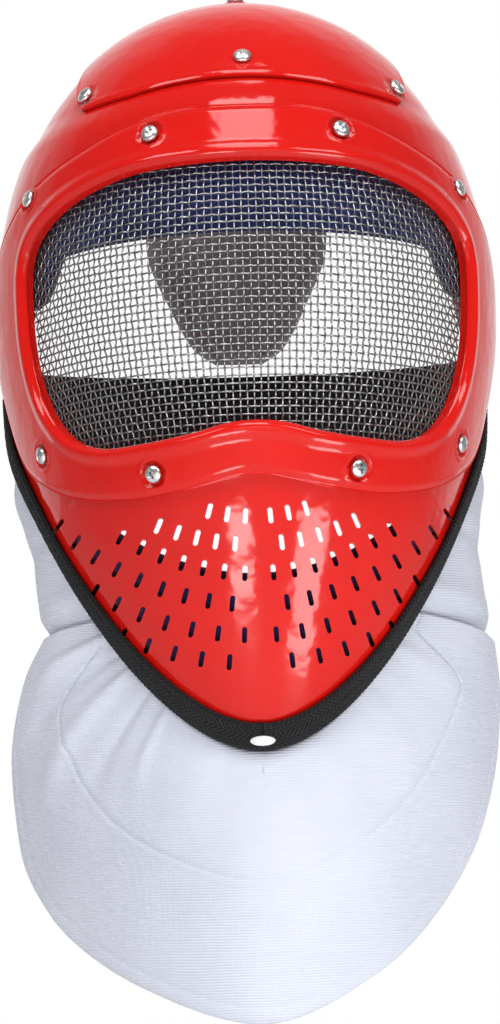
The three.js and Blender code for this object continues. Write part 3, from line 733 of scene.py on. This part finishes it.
def visor_frame(material):
    stations = 640
    inner = visor_loop("angle", "z", stations)
    outer = visor_loop("frame_angle", "frame_z", stations)
    across = frame_section()
    spot = inner[:, None] + (outer - inner)[:, None] * across[None, :, None]
    base = on_form(spot[..., 0], spot[..., 1])
    from_inner = np.linalg.norm(base - base[:, :1], axis=-1)
    from_outer = np.linalg.norm(base - base[:, -1:], axis=-1)
    lift = 3.0 + 1.3 * smooth(0, 2.4, from_inner) * smooth(8.5, 3.2, from_inner) * 1.0
    for distance, rounding in ((from_inner, 1.8), (from_outer, 0.9)):
        inset = np.clip(rounding - distance, 0, rounding)
        lift = lift - (rounding - np.sqrt(rounding ** 2 - inset ** 2))
    lift = lift - 0.9 * smooth(4.2, 0, from_outer) * (1 - smooth(0.9, 0, from_outer))
    for angle, z in frame_screw_places():
        away = np.linalg.norm(base - on_form(angle, z), axis=-1)
        ring = 0.35 * smooth(RECESS_RADIUS + 2.2, RECESS_RADIUS + 0.9, away)
        lift = lift + ring - (1.35 + 0.35) * smooth(RECESS_RADIUS + 0.5, RECESS_RADIUS - 0.5, away)
    top = place(spot[..., 0], spot[..., 1], lift)
    back_share = np.linspace(1, 0, 6)
    under_spot = inner[:, None] + (outer - inner)[:, None] * back_share[None, :, None]
    sag = 0.7 + 0.6 * 4 * back_share * (1 - back_share)
    under = place(under_spot[..., 0], under_spot[..., 1], np.broadcast_to(sag, under_spot.shape[:2]))
    obj = closed_tube("visor_frame_moulding", np.concatenate([top, under], axis=1), close_rows=True)
    obj.data.set_sharp_from_angle(angle=math.radians(50))
    return finish_piece(obj, material, "red_plastic", "visor_frame")


# ---- screws and the rivet ----

def frame_screw_places():
    for angle, z in zip(*FRAME_SCREWS.values()):
        yield -angle, z
        yield angle, z


def screw_head():
    """A pan head with a tapered cross recess, its axis along +Z and its rim at height 0."""
    columns = 48
    profile = [(SCREW_RADIUS * 0.96, 0), (SCREW_RADIUS, 0.25), (SCREW_RADIUS, 0.7)]
    bend = np.radians(np.linspace(0, 84, 12))
    profile += [(SCREW_RADIUS * math.cos(a) ** 0.62, 0.7 + (SCREW_HEIGHT - 0.7) * math.sin(a)) for a in bend[1:]]
    turn = np.radians(np.arange(columns) * 360 / columns)
    rings = np.stack([np.column_stack([r * np.cos(turn), r * np.sin(turn), np.full(columns, h)])
                      for r, h in profile])
    head = closed_tube("head", rings)
    arm, width, depth = 2.1, 0.46, 1.7
    for quarter in (0, math.pi / 2):
        low, high = (arm * 0.35, width * 0.6), (arm, width)
        ring = [np.column_stack([np.array([-1, 1, 1, -1]) * a, np.array([-1, -1, 1, 1]) * w, np.full(4, h)])
                for (a, w), h in ((low, SCREW_HEIGHT - depth), (high, SCREW_HEIGHT + 0.2))]
        turned = np.stack(ring) @ np.array(Matrix.Rotation(quarter, 3, "Z")).T
        cut(head, closed_tube("arm", turned))
    head.data.set_sharp_from_angle(angle=math.radians(35))
    return head


def screws(material):
    pattern = screw_head()
    spots = [(a, z, RECESS_LIFT + 0.3, "frame_screw") for a, z in frame_screw_places()]
    spots += [(a, z, 0.3, "crown_screw") for a, z in zip(*PLATE_SCREWS.values())]
    spots.append((TOP_SCREW_ANGLE, TOP_SCREW_Z, BOSS_HEIGHT + 0.3, "crown_screw"))
    numbers = {"frame_screw": 0, "crown_screw": 0}
    for i, (angle, z, lift, family) in enumerate(spots):
        numbers[family] += 1
        normal, centre = Vector(normal_at(angle, z)), Vector(on_form(angle, z))
        turn = normal.to_track_quat("Z", "Y").to_matrix().to_4x4()
        spin = Matrix.Rotation(0.7 * i * i + 0.4, 4, "Z")
        node = f"{family}_{numbers[family]}"
        obj = bpy.data.objects.new(node + "_head", pattern.data.copy())
        bpy.context.scene.collection.objects.link(obj)
        obj.data.transform(Matrix.Translation((centre + normal * lift) * MM) @ turn @ spin)
        finish_piece(obj, material, "zinc_screws", node)
    bpy.data.objects.remove(pattern)


def chin_rivet(material):
    columns, rows = 64, 14
    turn = np.radians(np.arange(columns) * 360 / columns)
    bend = np.linspace(0, math.pi / 2 * 0.97, rows)
    profile = [(0.94, -0.3)] + list(zip(np.cos(bend) ** 0.5, np.sin(bend) * RIVET_THICKNESS))
    side, out = np.array([1.0, 0, 0]), normal_at(0.0, CHIN_Z)
    up = np.cross(out, side)
    centre = beside_rim(1.0, CHIN_Z, -2.6, 3.1)
    rings = np.stack([centre + r * RIVET_HALF_LENGTH * np.cos(turn)[:, None] * side
                      + r * RIVET_HALF_HEIGHT * np.sin(turn)[:, None] * up + h * out for r, h in profile])
    obj = closed_tube("chin_rivet_head", rings)
    obj.data.set_sharp_from_angle(angle=math.radians(50))
    return finish_piece(obj, material, "white_plastic", "chin_rivet")


# ---- the woven wire screen ----

def inside_loop(loop, angle, z):
    """Whether points lie inside a closed loop, by counting crossings of a level line."""
    inside = np.zeros(angle.shape, bool)
    for (x1, y1), (x2, y2) in zip(loop, np.roll(loop, -1, axis=0)):
        if y1 == y2:
            continue
        crosses = (y1 > z) != (y2 > z)
        inside ^= crosses & (angle < (x2 - x1) * (z - y1) / (y2 - y1) + x1)
    return inside


def wire(points, normals, sides=6):
    """Vertices and quads of a round wire along points; its section stays square to the run."""
    tangent = unit(np.gradient(points, axis=0))
    out = unit(normals - tangent * np.sum(normals * tangent, -1, keepdims=True))
    across = np.cross(tangent, out)
    turn = np.radians(np.arange(sides) * 360 / sides)
    rings = (points[:, None] + WIRE_RADIUS * (np.cos(turn)[None, :, None] * out[:, None]
                                              + np.sin(turn)[None, :, None] * across[:, None]))
    faces = grid_faces(len(points), sides, False, True)
    return rings.reshape(-1, 3), faces


def runs(mask):
    """Start and end of each stretch of true values."""
    edges = np.flatnonzero(np.diff(np.concatenate([[0], mask.astype(int), [0]])))
    return zip(edges[::2], edges[1::2])


def even_steps(function, start, end, pitch):
    """Parameter values from start to end whose points lie a pitch apart along the curve."""
    fine = np.linspace(start, end, 1200)
    points = function(fine)
    length = np.concatenate([[0], np.cumsum(np.linalg.norm(np.diff(points, axis=0), axis=1))])
    count = int(length[-1] / pitch)
    return np.interp(np.arange(count + 1) * pitch, length, fine)


def visor_screen(material):
    per_cell = 2
    loop = grown(visor_loop("angle", "z", 240), SCREEN_MARGIN * 0.6)
    side_angles = even_steps(lambda a: on_form(a, WIDEST_Z), 0, 66, WIRE_PITCH / per_cell)
    angles = np.concatenate([-side_angles[:0:-1], side_angles])
    heights = even_steps(lambda z: on_form(0, z), -192, -68, WIRE_PITCH / per_cell)
    parts = {"points": [], "faces": [], "count": 0}

    def add_wire(angle, z, weave):
        inside = inside_loop(loop, angle, z)
        for start, end in runs(inside):
            if end - start < 3:
                continue
            part = slice(start, end)
            lift = WIRE_LIFT + WIRE_CRIMP * weave[part]
            normals = normal_at(angle[part], z[part])
            points, faces = wire(on_form(angle[part], z[part]) + normals * lift[:, None], normals)
            parts["points"].append(points)
            parts["faces"].append(faces + parts["count"])
            parts["count"] += len(points)

    columns, rows = np.arange(len(angles)), np.arange(len(heights))
    for row in rows[::per_cell]:
        weave = np.cos(math.pi * (columns / per_cell + row / per_cell))
        add_wire(angles, np.full(len(angles), heights[row]), weave)
    for column in columns[::per_cell]:
        weave = -np.cos(math.pi * (rows / per_cell + column / per_cell))
        add_wire(np.full(len(heights), angles[column]), heights, weave)
    obj = make_mesh("woven_wires", np.vstack(parts["points"]), np.vstack(parts["faces"]))
    return finish_piece(obj, material, "steel_wire", "visor_mesh")


# ---- the trim ----

def trim_section():
    """The folded webbing in section: past the edge and lift, with round folds and thick rounded ends."""
    corners = [(-TRIM_ON_SHELL, 0.8), (-TRIM_ON_SHELL - 0.4, 1.7), (-TRIM_ON_SHELL, 2.6), (-5, 2.75),
               (0, 2.7), (1.8, 2.3), (2.7, 1.2), (2.9, -1.0), (2.9, -3.0), (2.4, -4.8), (1.2, -5.9),
               (-5, -6.1), (-TRIM_ON_SHELL, -6.1), (-TRIM_ON_SHELL - 0.3, -5.2), (-TRIM_ON_SHELL, -4.3),
               (1.2, -4.3), (1.2, 0.8)]
    return np.array(corners)


def subdivided(polygon, longest):
    """A closed polygon with its long sides broken up."""
    made = []
    for a, b in zip(polygon, np.roll(polygon, -1, axis=0)):
        steps = max(1, int(np.ceil(np.linalg.norm(b - a) / longest)))
        made += [a + (b - a) * k / steps for k in range(steps)]
    return np.array(made)


def edge_trim(material):
    stations = 600
    section = subdivided(trim_section(), 1.2)
    share = np.linspace(-1, 1, stations)
    z = CHIN_Z + (EAR_Z - CHIN_Z) * (0.8 * share ** 2 + 0.2 * np.abs(share))
    side = np.where(share < 0, -1.0, 1.0)
    middle = beside_rim(side, z, 0 * z, 0 * z)
    run = np.concatenate([[0], np.cumsum(np.linalg.norm(np.diff(middle, axis=0), axis=1))])
    past, lift = section[:, 0][None], section[:, 1][None]
    outer_face = smooth(0.9, 2.4, lift) * np.ones_like(run)[:, None]
    rib = np.sin(2 * math.pi * (run[:, None] + np.abs((past + 12) % 4.8 - 2.4)) / 2.1)
    lift = lift + 0.16 * rib * outer_face
    flare = EAR_FLARE * smooth(-225, EAR_Z, z)[:, None]
    lift = lift + flare * (past + TRIM_ON_SHELL) / TRIM_ON_SHELL * smooth(-1, 1, section[:, 1])[None]
    past = past + 0.22 * np.sin(2 * math.pi * run[:, None] / 2.1) * smooth(-8, -9, past)
    wide = np.broadcast_to(side[:, None], lift.shape)
    rings = beside_rim(wide, np.broadcast_to(z[:, None], lift.shape), np.broadcast_to(past, lift.shape), lift)
    length = np.concatenate([[0], np.cumsum(np.linalg.norm(np.diff(section, axis=0), axis=1))])
    uv = np.stack(np.broadcast_arrays(run[:, None], length[None]), -1)
    obj = closed_tube("trim_webbing", rings, uv)
    return finish_piece(obj, material, "black_webbing", "edge_trim")


# ---- the bib ----

def bib_grid(table, across, down):
    """Middle surface of a bib piece: rows round the rim, columns from the trim to the hem."""
    index = np.arange(len(table["x"]))
    at = np.linspace(0, index[-1], across)
    rim_x = np.array(table["side"]) * rim_angle(np.array(table["rim_z"], float))
    rim_z = np.maximum(along(index, table["rim_z"], at), CHIN_Z + 0.02)
    side = np.where(along(index, rim_x, at) < 0, -1.0, 1.0)
    top = beside_rim(side, rim_z, np.full(across, TRIM_PAST_EDGE + 0.3 + CLOTH_THICKNESS / 2),
                     np.full(across, -WALL / 2))
    hem = np.stack([along(index, table[key], at) for key in "xyz"], -1)
    share = np.linspace(0, 1, down)[None, :, None]
    grid = top[:, None] * (1 - share) + hem[:, None] * share
    out = unit((grid - [0, NECK_AXIS_Y, 0]) * [1, 1, 0])
    drop = np.minimum(1, np.linalg.norm(hem - top, axis=-1) / 60)[:, None, None]
    return grid + out * CLOTH_BULGE * np.sin(math.pi * share) * drop, at / index[-1], share[0, :, 0]


def sheet_solid(name, grid, thickness, uv_step=1.0):
    """A cloth of even thickness with rounded edges round a grid of middle points."""
    across = np.gradient(grid, axis=0)
    down = np.gradient(grid, axis=1)
    normal = unit(np.cross(down, across))
    rows, columns = grid.shape[:2]
    i, j = np.meshgrid(np.arange(rows), np.arange(columns), indexing="ij")
    from_edge = np.minimum(np.minimum(i, rows - 1 - i), np.minimum(j, columns - 1 - j))
    half = thickness / 2 * np.where(from_edge == 0, 0.55, np.where(from_edge == 1, 0.9, 1.0))[..., None]
    outer, inner = grid + normal * half, grid - normal * half
    rings = np.concatenate([outer, inner[:, ::-1]], axis=1)
    return closed_tube(name, rings)


def crease(share_across, share_down, table):
    """Soft folds as rows of where they run: start and end place on the cloth, width and depth in mm."""
    total = np.zeros((len(share_across), len(share_down)))
    a, d = share_across[:, None], share_down[None]
    for a0, d0, a1, d1, width, depth in table:
        t = np.clip((d - d0) / (d1 - d0), 0, 1)
        middle = a0 + (a1 - a0) * t
        fade = smooth(d0 - 0.06, d0 + 0.08, d) * smooth(d1, d1 - 0.3, d)
        total += depth * np.exp(-((a - middle) / (width * (0.5 + t))) ** 2) * fade
    return total


BIB_FOLDS = [
    (0.05, 0.0, 0.10, 0.75, 0.016, 2.6), (0.10, 0.0, 0.17, 0.85, 0.018, -2.2),
    (0.15, 0.0, 0.24, 0.80, 0.017, 2.4), (0.21, 0.0, 0.31, 0.60, 0.015, -1.4),
    (0.27, 0.0, 0.36, 0.45, 0.014, 1.1), (0.90, 0.0, 0.84, 0.70, 0.03, 1.2),
    (0.80, 0.0, 0.74, 0.60, 0.03, -0.9), (0.45, 0.05, 0.43, 0.9, 0.05, -1.0),
    (0.60, 0.05, 0.63, 0.9, 0.06, 1.0),
]
SIDE_FOLDS = [(0.2, 0.0, 0.3, 1.2, 0.06, 1.4), (0.45, 0.0, 0.5, 1.2, 0.05, -1.2), (0.7, 0.0, 0.72, 1.2, 0.06, 1.0)]


def bib_piece(name, table, across, down, material, node, folds, seamed):
    grid, a, d = bib_grid(table, across, down)
    normal = unit(np.cross(np.gradient(grid, axis=0), np.gradient(grid, axis=1)))
    outward = (grid - [0, NECK_AXIS_Y, 0]) * [1, 1, 0]
    normal = normal * np.sign(np.sum(normal * outward, -1, keepdims=True))
    hem_gap = np.linalg.norm(grid - grid[:, -1:], axis=-1)
    lift = crease(a, d, folds)
    if not seamed:
        lift = lift - TUCK * smooth(0.7, 0.86, a)[:, None]
    lift = lift - 0.25 * np.exp(-((hem_gap - 6.0) / 0.9) ** 2) + 0.15 * smooth(6.5, 5.0, hem_gap)
    if seamed:
        seam = 0.48 - 0.42 * smooth(0.17, 0.04, a) - 0.42 * smooth(0.86, 0.97, a)
        length = np.linalg.norm(grid[:, -1] - grid[:, 0], axis=-1)
        gap = (d[None] - seam[:, None]) * length[:, None]
        lift = lift - 0.75 * np.exp(-(gap / 1.3) ** 2) + 0.5 * smooth(3.5, 0.8, gap)
    obj = sheet_solid(name, grid + normal * lift[..., None], CLOTH_THICKNESS)
    finish_piece(obj, material, "bib_cloth", node)


def bib(material):
    pieces = (
        ("bib_front_cloth", BIB_FRONT, 360, 120, "bib_front", BIB_FOLDS, True),
        ("bib_side_left_cloth", BIB_LEFT, 120, 50, "bib_side_left", SIDE_FOLDS, False),
        ("bib_side_right_cloth", BIB_RIGHT, 120, 50, "bib_side_right", SIDE_FOLDS, False),
    )
    for name, table, across, down, node, folds, seamed in pieces:
        bib_piece(name, table, across, down, material, node, folds, seamed)


# ---- padding, tongue and strap ----

def head_pad(material):
    columns, rows = 240, 70
    angles = np.arange(columns) * 360 / columns
    low = edge_height(angles, lambda y, z: (z > np.interp(y, PAD_EDGE["y"], PAD_EDGE["z"]))
                      & (y < PAD_BACK_Y), -125)
    low = soften(low, 3)
    reach = np.arccos(np.clip((low - WIDEST_Z) / (TOP_Z - WIDEST_Z), -1, 1))
    share = np.linspace(0.01, 1, rows)[:, None]
    z = WIDEST_Z + (TOP_Z - WIDEST_Z) * np.cos(reach[None] * share)
    angle = np.broadcast_to(angles, z.shape)
    base = on_form(angle, z)
    to_edge = np.linalg.norm(base - base[-1:], axis=-1)
    round_off = 5.0
    inset = np.clip(round_off - to_edge, 0, round_off)
    half = PAD_THICKNESS / 2 * np.sqrt(np.maximum(0.03, 1 - (inset / round_off) ** 2))
    middle = PAD_LIFT - PAD_THICKNESS / 2 - step_at(z)
    quilt = 0.9 * np.abs(np.sin(np.radians(angle) * 9)) ** 0.5 * smooth(4, 16, to_edge)
    outer, inner = place(angle, z, middle + half), place(angle, z, middle - half + 0.9 - quilt)
    points = np.vstack([outer.reshape(-1, 3), inner[::-1].reshape(-1, 3),
                        [[0, 0, TOP_Z + PAD_LIFT - STEP_DEPTH],
                         [0, 0, TOP_Z + PAD_LIFT - PAD_THICKNESS - STEP_DEPTH + 0.9]]])
    faces = [list(quad) for quad in grid_faces(2 * rows, columns, False, True)]
    last = 2 * rows * columns
    for j in range(columns):
        k = (j + 1) % columns
        faces += [[last, j, k], [last + 1, (2 * rows - 1) * columns + k, (2 * rows - 1) * columns + j]]
    obj = turn_out(make_mesh("head_padding", points, faces))
    finish_piece(obj, material, "blue_padding", "head_pad")


def chin_pad(material):
    columns, rows = 180, 50
    angle = np.linspace(-68, 68, columns)
    heights = np.linspace(CHIN_Z + 1, -180, 300)
    top = CHIN_PAD_TOP_Z + CHIN_PAD_RISE * angle ** 2
    bottom = np.maximum(np.interp(np.abs(angle) + 7, rim_angle(heights), heights), CHIN_PAD_BOTTOM_Z)
    bottom = np.minimum(bottom, top - 3)
    share = np.linspace(0, 1, rows)[None]
    z = top[:, None] + (bottom - top)[:, None] * share
    angles = np.broadcast_to(angle[:, None], z.shape)
    ends = np.minimum(np.arange(columns), np.arange(columns)[::-1])[:, None] / 8
    edge = np.minimum(share, 1 - share) * (top - bottom)[:, None] / 4
    fat = np.sqrt(np.clip(1 - (1 - np.clip(np.minimum(ends, edge), 0, 1)) ** 2, 0.03, 1))
    half, middle = CHIN_PAD_THICKNESS / 2 * fat, CHIN_PAD_LIFT - CHIN_PAD_THICKNESS / 2
    outer, inner = place(angles, z, middle + half), place(angles, z, middle - half)
    obj = closed_tube("chin_padding", np.concatenate([outer, inner[:, ::-1]], axis=1))
    finish_piece(obj, material, "blue_padding", "chin_pad")


def behind(x, z, lift):
    """Points on the back of the form at a given x."""
    turn = 180 - np.degrees(np.arcsin(np.clip(x / half_width(z), -0.999, 0.999)))
    return place(turn, z, lift - step_at(z))


def rear_tongue(material):
    down, across = 110, 60
    z = np.linspace(TONGUE["z"][0], TONGUE["z"][-1], down)
    order = np.argsort(TONGUE["z"])
    wide = along(np.array(TONGUE["z"])[order], np.array(TONGUE["half_width"])[order], z)
    z = np.minimum(z, -9.0 + 0 * z)
    z = np.linspace(-9.5, TONGUE["z"][-1], down)
    share = np.linspace(-1, 1, across)
    x, height = wide[:, None] * share[None], np.broadcast_to(z[:, None], (down, across))
    ends = np.minimum(np.arange(down), np.arange(down)[::-1])[:, None] / 7
    side = (1 - np.abs(share))[None] * wide[:, None] / 6
    fat = np.sqrt(np.clip(1 - (1 - np.clip(np.minimum(ends, side), 0, 1)) ** 2, 0.02, 1))
    middle = TONGUE_LIFT - TONGUE_THICKNESS / 2
    half = TONGUE_THICKNESS / 2 * fat
    channel = 0.8 * np.exp(-((np.abs(share)[None] * wide[:, None] - wide[:, None] + 8) / 1.3) ** 2)
    outer = behind(x, height, middle + half - channel)
    inner = behind(x, height, middle - half + channel)
    obj = closed_tube("tongue_padding", np.concatenate([outer, inner[:, ::-1]], axis=1))
    # The tongue's light grey knit is painted darker, down to the grey of the shade it hangs in.
    finish_piece(obj, material, "grey_padding", "rear_tongue")


def rear_strap(material):
    stations, over = 420, 30
    z0 = -140.0
    start = 180 - np.degrees(np.arccos(STRAP["y"][0] / float(back_reach(z0))))
    start = np.degrees(np.arccos(-STRAP["y"][0] / float(back_reach(z0))))
    angle = np.linspace(start, 360 - start, stations)
    y = on_form(angle, np.full(stations, z0))[:, 1]
    top, bottom = np.interp(y, STRAP["y"], STRAP["top"]), np.interp(y, STRAP["y"], STRAP["bottom"])
    top, bottom = (np.convolve(np.pad(v, 12, "edge"), np.ones(25) / 25, "valid") for v in (top, bottom))
    share = np.linspace(0, 1, over)[None]
    z = top[:, None] + (bottom - top)[:, None] * share
    angles = np.broadcast_to(angle[:, None], z.shape)
    edge = np.minimum(share, 1 - share) * np.abs(bottom - top)[:, None]
    half = STRAP_THICKNESS / 2 * np.sqrt(np.clip(1 - (1 - np.clip(edge / 1.2, 0, 1)) ** 2, 0.05, 1))
    middle = STRAP_LIFT - STRAP_THICKNESS / 2
    outer, inner = place(angles, z, middle + half), place(angles, z, middle - half)
    rings = np.concatenate([outer, inner[:, ::-1]], axis=1)
    run = np.concatenate([[0], np.cumsum(np.linalg.norm(np.diff(outer[:, 0], axis=0), axis=1))])
    over_mm = np.concatenate([-z, -z[:, ::-1]], axis=1)
    uv = np.stack([np.broadcast_to(run[:, None], over_mm.shape), over_mm], -1)
    obj = closed_tube("strap_elastic", rings, uv)
    return finish_piece(obj, material, "black_elastic", "rear_strap")


# ---- stage, light and camera ----

FLOOR_Z = -0.6
CAMERA_DISTANCE = 1.3
CAMERA_ELEVATION = -7.0
CAMERA_AZIMUTH = -1.5
CAMERA_ROLL = 1.8
AIM = Vector((0, 0, -0.1996))
VIEW_HEIGHT = 0.4362


def stage():
    mesh = bpy.data.meshes.new("floor")
    size = 3.5
    mesh.from_pydata([(-size, -size, FLOOR_Z), (size, -size, FLOOR_Z), (size, size, FLOOR_Z),
                      (-size, size, FLOOR_Z)], [], [(0, 1, 2, 3)])
    floor = bpy.data.objects.new("floor", mesh)
    bpy.context.scene.collection.objects.link(floor)
    paint = Nodes("pale_floor").set(base_color=(0.93, 0.93, 0.93, 1), roughness=0.9)
    mesh.materials.append(paint.material)


def softbox(name, location, target, size, power):
    light = bpy.data.lights.new(name, "AREA")
    light.shape, light.size, light.size_y, light.energy = "RECTANGLE", size[0], size[1], power
    obj = bpy.data.objects.new(name, light)
    obj.location = location
    obj.rotation_euler = (Vector(target) - Vector(location)).to_track_quat("-Z", "Y").to_euler()
    bpy.context.scene.collection.objects.link(obj)


def lights():
    world = bpy.data.worlds.new("studio")
    bpy.context.scene.world = world
    world.use_nodes = True
    tree = world.node_tree
    where, split = tree.nodes.new("ShaderNodeTexCoord"), tree.nodes.new("ShaderNodeSeparateXYZ")
    ramp = tree.nodes.new("ShaderNodeValToRGB")
    tree.links.new(where.outputs["Generated"], split.inputs[0])
    tree.links.new(split.outputs["Y"], ramp.inputs["Fac"])
    ramp.color_ramp.elements[0].position, ramp.color_ramp.elements[1].position = 0.35, 0.92
    ramp.color_ramp.elements[0].color, ramp.color_ramp.elements[1].color = (0.22, 0.22, 0.225, 1), (1, 1, 1, 1)
    tree.links.new(ramp.outputs["Color"], tree.nodes["Background"].inputs["Color"])
    softbox("key_left", (-0.85, -1.0, 0.75), (0, 0, -0.2), (0.6, 0.6), 9)
    softbox("key_right", (0.85, -1.0, 0.75), (0, 0, -0.2), (0.6, 0.6), 9)
    softbox("top", (0.02, -0.58, 0.98), (0, -0.05, -0.05), (0.48, 0.8), 9)
    softbox("low_left", (-0.12, -0.62, -0.56), (0, -0.1, -0.25), (0.16, 0.2), 1.3)
    softbox("low_right", (0.36, -0.45, -0.53), (0, -0.1, -0.25), (0.2, 0.2), 1.3)
    softbox("front", (0.1, -1.9, -0.4), (0, 0, -0.25), (1.0, 0.4), 2)
    scene = bpy.context.scene
    scene.view_settings.view_transform = "Standard"
    scene.view_settings.look = "None"


def camera():
    data = bpy.data.cameras.new("camera")
    data.lens = data.sensor_width * CAMERA_DISTANCE / VIEW_HEIGHT
    obj = bpy.data.objects.new("camera", data)
    a, e = math.radians(CAMERA_AZIMUTH), math.radians(CAMERA_ELEVATION)
    back = Vector((math.sin(a) * math.cos(e), -math.cos(a) * math.cos(e), math.sin(e)))
    obj.location = AIM + back * CAMERA_DISTANCE
    roll = Matrix.Rotation(math.radians(-CAMERA_ROLL), 4, "Z")
    turn = (-back).to_track_quat("-Z", "Y").to_matrix().to_4x4() @ roll
    obj.rotation_euler = turn.to_euler()
    bpy.context.scene.collection.objects.link(obj)
    bpy.context.scene.camera = obj


def build():
    red = red_plastic()
    face_shell(red)
    crown_plate(red)
    visor_frame(red)
    visor_screen(steel_wire())
    screws(zinc())
    edge_trim(webbing())
    chin_rivet(white_plastic())
    bib(bib_cloth())
    navy = brushed_knit("navy_knit", (0.006, 0.01, 0.05), (0.018, 0.03, 0.15))
    head_pad(navy)
    chin_pad(navy)
    # Light grey cloth with painted shade: these greys are the tongue's shadowed tone, not its own lighter colour.
    rear_tongue(brushed_knit("shade_darkened_grey_knit", (0.2, 0.18, 0.185), (0.4, 0.37, 0.37)))
    rear_strap(elastic())


build()
stage()
lights()
camera()
